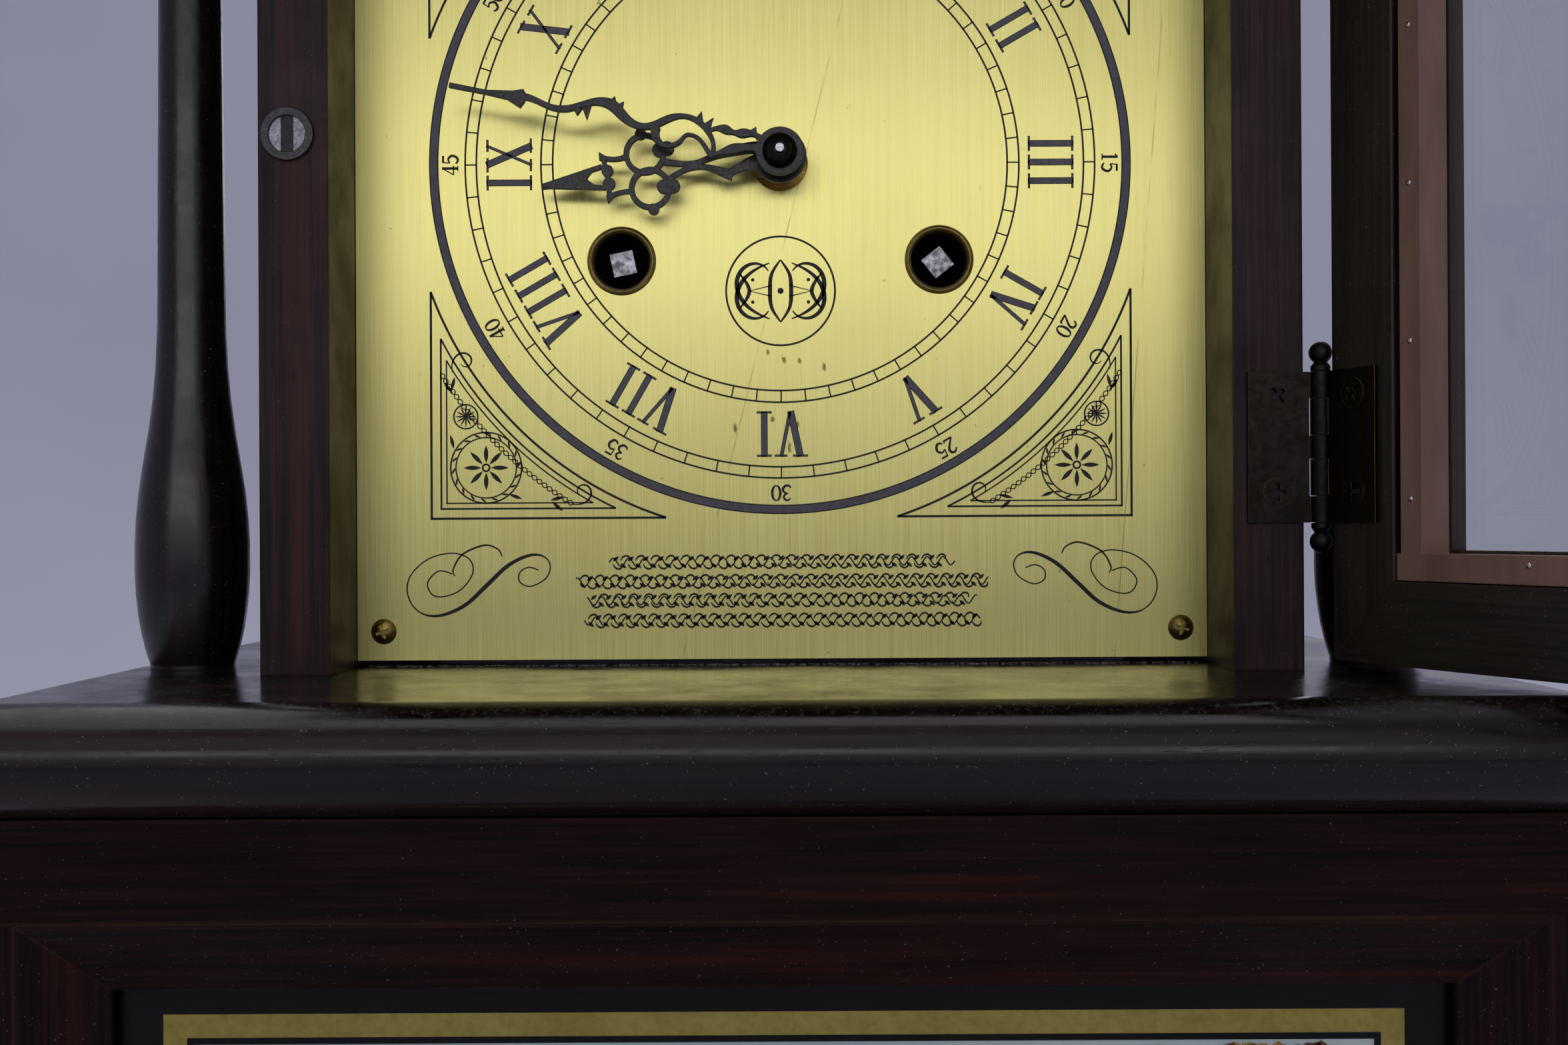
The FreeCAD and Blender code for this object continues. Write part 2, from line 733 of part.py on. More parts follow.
def hinges():
    """Two ball-tipped butt hinges on the front door and two on the rear door."""
    heights = [ledge_top + sizes.hinge_end_distance, hood_top - sizes.hinge_end_distance]
    case_leaves, case_screws, door_leaves, door_screws, rear_leaves, pins = ([] for _ in range(6))
    for centre in heights:
        front = (sizes.door_hinge_x, hinge_y, centre)
        rear = (-sizes.door_hinge_x, rear_hinge_y, centre)
        fixed = leaf_screws(*front, -1, 1, 9.0)
        case_leaves.append(countersunk(hinge_leaf(*front, -1, 1, CASE_KNUCKLES), fixed))
        case_screws += fixed
        swinging = leaf_screws(*front, -1, -1, 8.0)
        door_leaves.append(countersunk(hinge_leaf(*front, -1, -1, DOOR_KNUCKLES), swinging))
        door_screws += swinging
        fixed = leaf_screws(*rear, 1, -1, 9.0)
        case_leaves.append(countersunk(hinge_leaf(*rear, 1, -1, CASE_KNUCKLES), fixed))
        case_screws += fixed
        swinging = leaf_screws(*rear, 1, 1, 6.0)
        rear_leaves.append(countersunk(hinge_leaf(*rear, 1, 1, DOOR_KNUCKLES), swinging))
        rear_leaves += swinging
        pins += [finial_pin(*front), finial_pin(*rear)]
    keep(feature("hinge_case_leaves", Part.makeCompound(case_leaves)), "hinge_case_leaves")
    keep(feature("hinge_case_screws", Part.makeCompound(case_screws)), "hinge_case_screws")
    keep(feature("hinge_pins", Part.makeCompound(pins)), "hinge_pins")
    keep(feature("rear_door_hinges", Part.makeCompound(rear_leaves)), "rear_door_hinges")
    for label, pieces in (("hinge_door_leaves", door_leaves), ("hinge_door_screws", door_screws)):
        opened(keep(feature(label, Part.makeCompound(pieces)), label))


def opened(obj):
    """Swing a piece of the front door from its shut place to its open rest place."""
    obj.Placement = DOOR_PLACE * obj.Placement
    return obj


# ---------------------------------------------------------------- front door

def door_member(name, half_length, turn, reach, middle_x, middle_z):
    """One mitred member of the door frame, rebated on its inner edge for the glass."""
    width = sizes.door_member + sizes.door_lip_width
    blank = mitred_strip(f"{name}_blank", half_length, width, sizes.door_thickness)
    rebate = box(f"{name}_rebate",
                 (2 * half_length, sizes.door_thickness - sizes.door_lip_thickness,
                  sizes.door_lip_width + 1),
                 (-half_length, -(sizes.door_thickness - sizes.door_lip_thickness),
                  sizes.door_member))
    member = cut(name, blank, rebate)
    angle = math.radians(turn)
    member.Placement = spun(num(middle_x) + num(reach) * math.sin(angle), door_inside,
                            num(middle_z) - num(reach) * math.cos(angle), turn)
    return member


def front_door():
    """Mitred frame, pane, four glazing beads, knob and catch strike, all swung open."""
    middle_x = (door_left + door_right) / 2
    middle_z = (door_bottom + door_top) / 2
    half_width = (door_right - door_left) / 2
    half_height = (door_top - door_bottom) / 2
    stiles = [door_member(f"door_stile_{word}", half_height, turn, half_width, middle_x, middle_z)
              for word, turn in (("right", 90), ("left", 270))]
    rails = [door_member(f"door_rail_{word}", half_width, turn, half_height, middle_x, middle_z)
             for word, turn in (("bottom", 0), ("top", 180))]
    opened(keep(group("door_stiles", stiles), "door_stiles"))
    opened(keep(group("door_rails", rails), "door_rails"))

    pane_half_width = half_width - sizes.door_member - 0.2
    pane_half_height = half_height - sizes.door_member - 0.2
    pane_y = door_inside - sizes.door_thickness + sizes.door_lip_thickness
    opened_pane = group("door_glass", [box(
        "door_pane", (2 * pane_half_width, sizes.door_glass_thickness, 2 * pane_half_height),
        (middle_x - pane_half_width, pane_y, middle_z - pane_half_height))])
    opened(keep(opened_pane, "door_glass"))

    bead_depth = (sizes.door_thickness - sizes.door_lip_thickness - sizes.door_glass_thickness
                  - 0.4)
    bead_y = pane_y + sizes.door_glass_thickness
    bead_half_height = pane_half_height - sizes.bead_width
    beads = []
    for word, z in (("bottom", middle_z - pane_half_height),
                    ("top", middle_z + pane_half_height - sizes.bead_width)):
        beads.append(box(f"bead_{word}", (2 * pane_half_width, bead_depth, sizes.bead_width),
                         (middle_x - pane_half_width, bead_y, z)))
    for word, x in (("left", middle_x - pane_half_width + sizes.bead_gap),
                    ("right", middle_x + pane_half_width - sizes.bead_width - sizes.bead_gap)):
        beads.append(box(f"bead_{word}", (sizes.bead_width, bead_depth, 2 * bead_half_height),
                         (x, bead_y, middle_z - bead_half_height)))
    opened(keep(group("glass_beads", beads), "glass_beads"))

    radius = sizes.knob_radius
    length = sizes.knob_length
    knob = revolved("knob_turning", [
        (0, 0), (radius * 0.7, 0), (radius * 0.7, 1.0), (radius * 0.42, 2.0),
        (radius * 0.42, length * 0.4), (radius * 0.9, length * 0.6), (radius, length * 0.78),
        (radius * 0.8, length * 0.95), (radius * 0.4, length), (0, length)])
    knob.Placement.Rotation = Rotation(Vector(1, 0, 0), 90)
    bind_position(knob, -sizes.catch_x, door_inside - sizes.door_thickness, catch_z)
    opened(keep(group("door_knob", [knob]), "door_knob"))

    strike = rod("strike_disc", sizes.catch_radius, 0.8,
                 (-sizes.catch_x, door_inside + 0.8, catch_z), (0, -1, 0))
    opened(keep(group("catch_strike", [strike]), "catch_strike"))


# ---------------------------------------------------------------- rear door

def rear_door():
    """The back board of the hood, hinged at the rear left corner, and its turn button."""
    inside = sizes.hood_rear + sizes.door_gap
    left = -sizes.door_hinge_x + sizes.door_edge_offset
    keep(box("rear_door_panel",
             (sizes.hood_half_width - left, sizes.rear_door_thickness, door_top - door_bottom),
             (left, inside, door_bottom)), "rear_door_panel")
    rear_face = sizes.base_half_depth + 0.2
    pivot_z = hood_top + 8
    blade = padded("button_blade", "XZ_Plane",
                   rectangle(sizes.button_length / 2, -sizes.button_width / 2,
                             sizes.button_width / 2), sizes.button_thickness)
    bind_position(blade, sizes.button_length / 2 - 4, rear_face + sizes.button_thickness, pivot_z)
    screw = dome_screw(2.6, 1.2, 1.2, 2.0)
    screw.Placement = Placement(vec(0, rear_face + sizes.button_thickness, pivot_z),
                                Rotation(Vector(1, 0, 0), -90))
    eye = rod("button_eye", sizes.button_eye_radius, sizes.button_thickness,
              (0, rear_face, pivot_z), (0, 1, 0))
    keep(group("rear_turn_button", [fuse("button_with_screw",
                                         [blade, eye, feature("button_screw", screw)])]),
         "rear_turn_button")


# ---------------------------------------------------------------- wheels and pinions

# Arbor centres in the front plane, from the hands' centre: X to the right, Z up.
CENTRE = (0.0, 0.0)
TIME_BARREL = (num(sizes.winding_x), -num(sizes.winding_drop))
STRIKE_BARREL = (-num(sizes.winding_x), -num(sizes.winding_drop))
MINUTE_WHEEL = (0.0, -12.5)
PALLETS = (0.0, num(sizes.pallet_height))

# Tooth counts and modules, wheel before pinion.
GREAT_WHEEL = (72, 0.6)
SECOND_PINION = (12, 0.6)
SECOND_WHEEL = (60, 0.5)
CENTRE_PINION = (10, 0.5)
CENTRE_WHEEL = (84, 0.36)
THIRD_PINION = (8, 0.36)
THIRD_WHEEL = (82, 0.35)
ESCAPE_PINION = (7, 0.35)
ESCAPE_TEETH = 45
CANNON = (14, 12.5 / 28)
MINUTE_GEAR = (42, 12.5 / 28)
MINUTE_PINION = (10, 0.5)
HOUR_GEAR = (40, 0.5)


def pitch_radius(gear):
    teeth, module = gear
    return teeth * module / 2


def mesh_point(first, first_gap, second, second_gap, side):
    """The point at given distances from two arbors; side picks one of the two answers."""
    span_x, span_z = second[0] - first[0], second[1] - first[1]
    span = math.hypot(span_x, span_z)
    along = (first_gap ** 2 - second_gap ** 2 + span ** 2) / (2 * span)
    across = side * math.sqrt(first_gap ** 2 - along ** 2)
    return (first[0] + (along * span_x - across * span_z) / span,
            first[1] + (along * span_z + across * span_x) / span)


def polar(centre, distance, degrees):
    angle = math.radians(degrees)
    return (centre[0] + distance * math.cos(angle), centre[1] + distance * math.sin(angle))


SECOND = mesh_point(CENTRE, pitch_radius(SECOND_WHEEL) + pitch_radius(CENTRE_PINION),
                    TIME_BARREL, pitch_radius(GREAT_WHEEL) + pitch_radius(SECOND_PINION), 1)
THIRD = polar(CENTRE, pitch_radius(CENTRE_WHEEL) + pitch_radius(THIRD_PINION), 123)
ESCAPE = (0.0, THIRD[1] + math.sqrt((pitch_radius(THIRD_WHEEL) + pitch_radius(ESCAPE_PINION)) ** 2
                                    - THIRD[0] ** 2))
PIN_WHEEL = polar(STRIKE_BARREL, pitch_radius(GREAT_WHEEL) + pitch_radius(SECOND_PINION), 102.6)
HAMMER = (-47.0, -36.0)


def heading(first, second):
    """Direction from one arbor to another, in degrees."""
    return math.degrees(math.atan2(second[1] - first[1], second[0] - first[0]))


def meshed_phase(driver_place, driver_gear, driver_phase, follower_place, follower_gear):
    """The tooth angle that puts the follower's gap on the driver's tooth at the mesh."""
    towards = heading(driver_place, follower_place)
    driver_pitch = 360.0 / driver_gear[0]
    follower_pitch = 360.0 / follower_gear[0]
    fraction = ((towards - driver_phase) / driver_pitch) % 1.0
    return towards + 180.0 + (fraction - 0.5) * follower_pitch


def gear_disc(gear, thickness, bore, phase, lightened=False):
    """A toothed disc on z = 0, teeth as straight-sided cogs with rounded-off tips."""
    teeth, module = gear
    radius = pitch_radius(gear)
    small = teeth < 20
    root = radius - 0.95 * module
    tip = radius + (0.55 if small else 0.7) * module
    root_half = 0.24 if small else 0.28
    tip_half = 0.10 if small else 0.12
    step = 2 * math.pi / teeth
    points = []
    for tooth in range(teeth):
        middle = math.radians(phase) + tooth * step
        for distance, offset in ((root, -root_half), (tip, -tip_half), (tip, tip_half),
                                 (root, root_half)):
            angle = middle + offset * step
            points.append(Vector(distance * math.cos(angle), distance * math.sin(angle), 0))
    outline = Part.Wire(Part.makePolygon(points + points[:1]))
    face = Part.Face(outline)
    if bore:
        face = face.cut(Part.Face(Part.Wire(Part.makeCircle(bore))))
    if lightened:
        hole_radius = root * 0.24
        for spoke in range(5):
            angle = math.radians(phase + 72 * spoke)
            centre = Vector(root * 0.58 * math.cos(angle), root * 0.58 * math.sin(angle), 0)
            face = face.cut(Part.Face(Part.Wire(Part.makeCircle(hole_radius, centre))))
    return face.extrude(Vector(0, 0, thickness))


def along_arbor(shape, start):
    """Move a disc made on z = 0 to a distance behind the front plate's face."""
    moved = shape.copy()
    moved.translate(Vector(0, 0, -start))
    return moved


def on_arbor(name, place, shape):
    """Place a wheel made along -Z as depth so that its arbor runs from front to back."""
    copy = shape.copy()
    copy.Placement = Placement(vec(place[0], plate_front, hand_z + place[1]),
                               Rotation(Vector(1, 0, 0), 90))
    return keep(feature(name, copy), name)


def shaft(radius, start, end):
    """A round length of arbor between two depths behind the front plate's face."""
    return Part.makeCylinder(radius, end - start, Vector(0, 0, -end))


def disc(radius, start, end):
    return shaft(radius, start, end)


def joined(*pieces):
    return pieces[0].fuse(list(pieces[1:])).removeSplitter()


PIVOT = 0.8
PLATE_IN = num(sizes.plate_thickness)
PLATE_OUT = PLATE_IN + num(sizes.plate_spacing)
PLATE_END = PLATE_OUT + num(sizes.plate_thickness)


def pivoted_arbor(radius):
    """An arbor between the plates with a thinner pivot at each end."""
    return joined(shaft(radius, PLATE_IN + 0.3, PLATE_OUT - 0.3), shaft(PIVOT, 0.3, PLATE_END - 0.3))


def going_train():
    """Time barrel, second wheel, centre arbor, third wheel and escape wheel, all in mesh."""
    centre_phase = 0.0
    second_phase = meshed_phase(CENTRE, CENTRE_PINION, centre_phase, SECOND, SECOND_WHEEL)
    second = joined(pivoted_arbor(1.3),
                    along_arbor(gear_disc(SECOND_WHEEL, 1.2, 0, second_phase, True), 32.4),
                    along_arbor(gear_disc(SECOND_PINION, 4.5, 0, 0), 30.5))
    great_phase = meshed_phase(SECOND, SECOND_PINION, 0, TIME_BARREL, GREAT_WHEEL)
    on_arbor("time_barrel", TIME_BARREL, barrel(great_phase))
    on_arbor("second_wheel", SECOND, second)

    third_phase = meshed_phase(CENTRE, CENTRE_WHEEL, centre_phase, THIRD, THIRD_PINION)
    centre = joined(shaft(1.5, -19.6, PLATE_OUT - 0.3), shaft(PIVOT, PLATE_OUT - 0.5, PLATE_END - 0.3),
                    shaft(0.75, -22.6, -19.0),
                    along_arbor(gear_disc(CENTRE_WHEEL, 1.3, 0, centre_phase, True), 5.0),
                    along_arbor(gear_disc(CENTRE_PINION, 3.6, 0, centre_phase), 33.8))
    on_arbor("centre_arbor", CENTRE, centre)

    third = joined(pivoted_arbor(1.0), along_arbor(gear_disc(THIRD_PINION, 3.0, 0, third_phase), 5.8),
                   along_arbor(gear_disc(THIRD_WHEEL, 1.2, 0, third_phase, True), 15.2))
    on_arbor("third_wheel", THIRD, third)

    escape_phase = meshed_phase(THIRD, THIRD_WHEEL, third_phase, ESCAPE, ESCAPE_PINION)
    escape = joined(pivoted_arbor(0.85),
                    along_arbor(gear_disc(ESCAPE_PINION, 3.5, 0, escape_phase), 16.5),
                    along_arbor(escape_disc(), 25.2))
    on_arbor("escape_wheel", ESCAPE, escape)


def barrel(great_phase):
    """A hollow spring barrel with its great wheel behind it and a bore for the arbor."""
    radius = num(sizes.barrel_radius)
    wall = num(sizes.barrel_wall)
    bore = num(sizes.winding_arbor_radius + sizes.pivot_clearance)
    front, back, wheel_back = 7.0, 27.0, 29.0
    drum = disc(radius, front, back).cut(disc(radius - wall, front + wall, back - wall))
    wheel = along_arbor(gear_disc(GREAT_WHEEL, wheel_back - back, 0, great_phase), wheel_back)
    return joined(drum, wheel).cut(disc(bore, 0, 40))


def escape_disc():
    """The escape wheel: a thin ring of pointed teeth on a pierced disc."""
    tip, root = 11.0, 8.8
    points = []
    for tooth in range(ESCAPE_TEETH):
        base = 2 * math.pi * tooth / ESCAPE_TEETH
        lean = 0.35 * 2 * math.pi / ESCAPE_TEETH
        points.append(Vector(root * math.cos(base), root * math.sin(base), 0))
        points.append(Vector(tip * math.cos(base + lean), tip * math.sin(base + lean), 0))
    face = Part.Face(Part.Wire(Part.makePolygon(points + points[:1])))
    for spoke in range(4):
        centre = Vector(4.9 * math.cos(math.pi * spoke / 2), 4.9 * math.sin(math.pi * spoke / 2), 0)
        face = face.cut(Part.Face(Part.Wire(Part.makeCircle(2.1, centre))))
    return face.extrude(Vector(0, 0, 1.2))


def strike_train():
    """Strike barrel and pin wheel, and the pair of hammers behind the back plate."""
    pin_wheel_phase = 0.0
    great_phase = meshed_phase(PIN_WHEEL, SECOND_PINION, pin_wheel_phase, STRIKE_BARREL,
                               GREAT_WHEEL)
    on_arbor("strike_barrel", STRIKE_BARREL, barrel(great_phase))
    pins = [Part.makeCylinder(0.6, 2.6, Vector(12 * math.cos(k * math.pi / 4),
                                               12 * math.sin(k * math.pi / 4), -34.6))
            for k in range(8)]
    wheel = joined(pivoted_arbor(1.2),
                   along_arbor(gear_disc(SECOND_PINION, 4.5, 0, pin_wheel_phase), 30.5),
                   along_arbor(gear_disc(SECOND_WHEEL, 1.2, 0, pin_wheel_phase, True), 32.4), *pins)
    on_arbor("pin_wheel", PIN_WHEEL, wheel)

    arm_drop, arm_reach = 31.6, 26.0
    pieces = [shaft(1.4, PLATE_END + 0.4, PLATE_END + 11.5), shaft(PIVOT, 0.3, PLATE_END + 1.0)]
    for depth in (PLATE_END + 2.2, PLATE_END + 9.2):
        start = Vector(0, 0, -depth)
        elbow = Vector(arm_reach, -arm_drop + 3, -depth)
        direction = elbow.sub(start)
        pieces.append(Part.makeCylinder(0.8, direction.Length, start, direction))
        pieces.append(Part.makeCylinder(3.0, 12.0, Vector(arm_reach, -arm_drop - 4, -depth),
                                        Vector(0, 1, 0)))
    on_arbor("hammers", HAMMER, joined(*pieces))


def winding_arbors():
    """Two key-wound arbors, each with a square end behind its dial hole and a ratchet wheel."""
    radius = num(sizes.winding_arbor_radius)
    half = num(sizes.winding_square) / 2
    for label, place, turn in (("time_winding_arbor", TIME_BARREL, 38),
                               ("strike_winding_arbor", STRIKE_BARREL, 12)):
        square = Part.makeBox(2 * half, 2 * half, 6.0, Vector(-half, -half, 1.0))
        square.rotate(Vector(), Vector(0, 0, 1), turn)
        ratchet = Part.Face(Part.Wire(ratchet_outline(9.0, 7.8, 24))).extrude(Vector(0, 0, 1.4))
        ratchet.translate(Vector(0, 0, 0.6))
        arbor = joined(shaft(radius, -1.5, PLATE_OUT - 0.3), shaft(2.0, PLATE_OUT - 0.5, PLATE_END - 0.3),
                       square, ratchet)
        on_arbor(label, place, arbor)


def ratchet_outline(tip, root, teeth):
    """Saw teeth round a small wheel."""
    points = []
    for tooth in range(teeth):
        angle = 2 * math.pi * tooth / teeth
        points.append(Vector(root * math.cos(angle), root * math.sin(angle), 0))
        points.append(Vector(tip * math.cos(angle), tip * math.sin(angle), 0))
    return Part.makePolygon(points + points[:1])


# ---------------------------------------------------------------- movement frame

def movement_frame():
    """Front and back plates, pillars, suspension cock, rod block and chime rods."""
    clear = sizes.pivot_clearance
    pivots = [(*place, PIVOT + clear) for place in (SECOND, THIRD, ESCAPE, PALLETS, PIN_WHEEL,
                                                    HAMMER)]
    bores = [(*place, sizes.winding_arbor_radius + clear) for place in (TIME_BARREL, STRIKE_BARREL)]
    ear = sizes.plate_half_width
    out = 74.0
    low, high = -sizes.plate_bottom, sizes.plate_top
    ears = [(-out, low + 4), (-ear, low + 4), (-ear, low), (ear, low), (ear, low + 4),
            (out, low + 4), (out, low + 14), (ear, low + 14), (ear, high - 14), (out, high - 14),
            (out, high - 4), (ear, high - 4), (ear, high), (-ear, high), (-ear, high - 4),
            (-out, high - 4), (-out, high - 14), (-ear, high - 14), (-ear, low + 14),
            (-out, low + 14)]
    front = padded("front_plate", "XZ_Plane", ears, sizes.plate_thickness,
                   pivots + bores + [(0, 0, 1.5 + clear)])
    bind_position(front, 0, plate_front + sizes.plate_thickness, hand_z)
    keep(front, "front_plate")
    rear_bores = [(*place, 2.0 + clear) for place in (TIME_BARREL, STRIKE_BARREL)]
    back = padded("back_plate", "XZ_Plane", rectangle(ear, low, high), sizes.plate_thickness,
                  pivots + rear_bores + [(0, 0, PIVOT + clear)])
    bind_position(back, 0, back_plate_front + sizes.plate_thickness, hand_z)
    keep(back, "back_plate")
    pillars = [rod(f"pillar_{order}", sizes.pillar_radius, sizes.plate_spacing,
                   (x, plate_front + sizes.plate_thickness, hand_z + z), (0, 1, 0))
               for order, (x, z) in enumerate(((-44, -43), (44, -43), (-44, 55), (44, 55)))]
    keep(group("plate_pillars", pillars), "plate_pillars")

    stud = PALLETS[1]
    arm = Part.makeBox(8, 22.0, 3.0, vec(-4, PLATE_END, hand_z + stud + 6))
    foot = Part.makeBox(8, 2.0, 9.0, vec(-4, PLATE_END, hand_z + stud + 6))
    lug = Part.makeBox(5, 2.0, 12.0, vec(-2.5, PLATE_END + 20, hand_z + stud - 3))
    pin = Part.makeCylinder(1.2, 6.0, vec(0, PLATE_END + 14.5, hand_z + stud), Vector(0, 1, 0))
    keep(feature("suspension_cock", joined(arm, foot, lug, pin)), "suspension_cock")

    block_z = ledge_top + 7
    block = Part.makeBox(18, 16, 18, vec(jamb_half - 18, PLATE_END - 2, block_z))
    rods = [Part.makeCylinder(num(sizes.rod_radius), 132, vec(jamb_half - 12, PLATE_END + depth,
                                                              block_z + 9), Vector(-1, 0, 0))
            for depth in (2.2, 9.2)]
    keep(feature("rod_block", block.cut(rods)), "rod_block")
    keep(feature("chime_rods", Part.makeCompound(rods)), "chime_rods")


def pallets_and_pendulum():
    """The anchor with its crutch, and the pendulum: rod, bob and rating nut."""
    half_span, drop = 10.0, 11.4
    outline = [(0, 2.2), (3, 1.6), (half_span + 1.2, -drop + 4), (half_span + 0.6, -drop),
               (half_span - 0.6, -drop), (half_span - 1.0, -drop + 4), (2, -1.4), (0, -2.0)]
    points = [Vector(x, z, 0) for x, z in outline]
    points += [Vector(-x, z, 0) for x, z in reversed(outline[1:-1])]
    anchor = Part.Face(Part.Wire(Part.makePolygon(points + points[:1]))).extrude(Vector(0, 0, 1.2))
    crutch_depth = PLATE_END + 3.0
    crutch = Part.makeBox(1.6, 26.0, 1.2, Vector(-0.8, -26.0, -crutch_depth))
    fork = [Part.makeCylinder(0.6, 16.0, Vector(x, -25.0, -crutch_depth - 14.8)) for x in (-1.9, 1.9)]
    bridge = Part.makeBox(5.0, 2.0, 1.2, Vector(-2.5, -26.0, -crutch_depth))
    pallets = joined(shaft(0.9, PLATE_IN + 0.3, PLATE_OUT - 0.3), shaft(PIVOT, 0.3, PLATE_END + 3.0),
                     along_arbor(anchor, 25.2), crutch, bridge, *fork)
    on_arbor("pallet_arbor", PALLETS, pallets)

    hang = PLATE_END + 16.8
    length = num(sizes.pendulum_length)
    eye = disc(2.6, hang - 1.0, hang + 1.0).cut(disc(1.2 + 0.06, 0, 80))
    radius = num(sizes.bob_radius)
    strip = Part.makeBox(2.4, length + radius - 2.0, 1.2,
                         Vector(-1.2, -length - radius, -hang - 0.6))
    thread = Part.makeCylinder(1.0, 7.0, Vector(0, -length - radius + 0.5, -hang), Vector(0, -1, 0))
    on_arbor("pendulum_rod", PALLETS, joined(eye, strip, thread))
    half = num(sizes.bob_thickness) / 2
    bulge = (radius ** 2 + half ** 2) / (2 * half)
    balls = [Part.makeSphere(bulge, Vector(0, 0, sign * (half - bulge))) for sign in (1, -1)]
    bob = balls[0].common(balls[1])
    bob.translate(Vector(0, -length, -hang))
    slot = Part.makeBox(2.4, 60.0, 1.2, Vector(-1.2, -length - 30.0, -hang - 0.6))
    on_arbor("pendulum_bob", PALLETS, bob.cut(slot))
    below = Vector(0, -length - radius - 0.4, -hang)
    nut = Part.makeCylinder(3.0, 2.6, below, Vector(0, -1, 0))
    on_arbor("rating_nut", PALLETS, nut.cut(Part.makeCylinder(1.05, 2.6, below, Vector(0, -1, 0))))


# ---------------------------------------------------------------- motion work and hands

def motion_work():
    """Cannon pinion, minute wheel and hour wheel between the front plate and the dial."""
    cannon_phase = 0.0
    minute_phase = meshed_phase(CENTRE, CANNON, cannon_phase, MINUTE_WHEEL, MINUTE_GEAR)
    hour_phase = meshed_phase(MINUTE_WHEEL, MINUTE_PINION, 0, CENTRE, HOUR_GEAR)
    bore = shaft(1.5 + num(sizes.pivot_clearance), -40, 10)
    cannon = joined(along_arbor(gear_disc(CANNON, 2.2, 0, cannon_phase), -0.8),
                    shaft(2.25, -18.9, -0.8), shaft(1.95, -21.6, -18.0)).cut(bore)
    on_arbor("cannon_pinion", CENTRE, cannon)
    minute = joined(along_arbor(gear_disc(MINUTE_GEAR, 1.2, 0, minute_phase), -1.4),
                    along_arbor(gear_disc(MINUTE_PINION, 3.6, 0, 0), -2.6))
    on_arbor("minute_wheel", MINUTE_WHEEL, minute.cut(shaft(0.8 + 0.05, -30, 30)))
    on_arbor("minute_post", MINUTE_WHEEL, joined(shaft(0.8, -7.2, 0), shaft(1.6, -0.8, 0)))
    hour = joined(along_arbor(gear_disc(HOUR_GEAR, 1.3, 0, hour_phase), -4.4),
                  shaft(2.9, -16.6, -4.4)).cut(shaft(2.3, -40, 10))
    on_arbor("hour_wheel", CENTRE, hour)


def ribbon(points, widths):
    """A strip of changing width that follows a smooth line through points, as a flat face."""
    curve = Part.BSplineCurve()
    curve.interpolate([Vector(x, y, 0) for x, y in points])
    sides = ([], [])
    for (x, y), width in zip(points, widths):
        place = curve.parameter(Vector(x, y, 0))
        tangent = curve.tangent(place)[0]
        normal = Vector(-tangent.y, tangent.x, 0)
        centre = Vector(x, y, 0)
        sides[0].append(centre + normal * (width / 2))
        sides[1].append(centre - normal * (width / 2))
    upper = Part.BSplineCurve()
    upper.interpolate(sides[0])
    lower = Part.BSplineCurve()
    lower.interpolate(sides[1])
    edges = [upper.toShape(), Part.makeLine(sides[0][-1], sides[1][-1]), lower.toShape(),
             Part.makeLine(sides[1][0], sides[0][0])]
    return Part.Face(Part.Wire(Part.__sortEdges__(edges)))


def blade(points):
    """A flat face with straight sides."""
    corners = [Vector(x, y, 0) for x, y in points]
    return Part.Face(Part.Wire(Part.makePolygon(corners + corners[:1])))


def spot(x, y, radius):
    return Part.Face(Part.Wire(Part.makeCircle(radius, Vector(x, y, 0))))


def hoop(x, y, outer, inner):
    return spot(x, y, outer).cut(spot(x, y, inner))


def hand_solid(faces, bore):
    """Join a hand's faces in the plane, thicken them and bore the boss."""
    solid = faces[0].extrude(Vector(0, 0, num(sizes.hand_thickness)))
    others = [face.extrude(Vector(0, 0, num(sizes.hand_thickness))) for face in faces[1:]]
    solid = solid.fuse(others).removeSplitter()
    return solid.cut(Part.makeCylinder(bore, 20, Vector(0, 0, -5)))


def point_hand(name, shape, depth, clock_angle):
    """Place a hand that was drawn along +X so that it points at an angle clockwise from 12."""
    copy = shape.copy()
    copy.Placement = Placement(vec(0, -depth, hand_z), Rotation(Vector(1, 0, 0), 90)
                               * Rotation(Vector(0, 0, 1), 90 - clock_angle))
    return keep(feature(name, copy), name)


def hands():
    """The two serpentine hands and the domed nut that holds them."""
    boss = num(sizes.hand_boss_radius)
    minute = [spot(0, 0, boss - 0.5)] + minute_hand_faces()
    hour = [spot(0, 0, boss)] + hour_hand_faces()
    point_hand("minute_hand", hand_solid(minute, 1.95), 18.9, num(sizes.minute_angle))
    point_hand("hour_hand", hand_solid(hour, 2.9), 15.2, num(sizes.hour_angle))
    dome = Part.makeSphere(3.4, Vector(0, 0, 18.9)).common(
        Part.makeCylinder(3.0, 3.0, Vector(0, 0, 19.9)))
    nut = dome.cut(Part.makeCylinder(0.95, 8, Vector(0, 0, 18)))
    nut = nut.cut(Part.makeCylinder(1.95, 1.75, Vector(0, 0, 19.9)))
    on_arbor("hand_nut", CENTRE, nut)


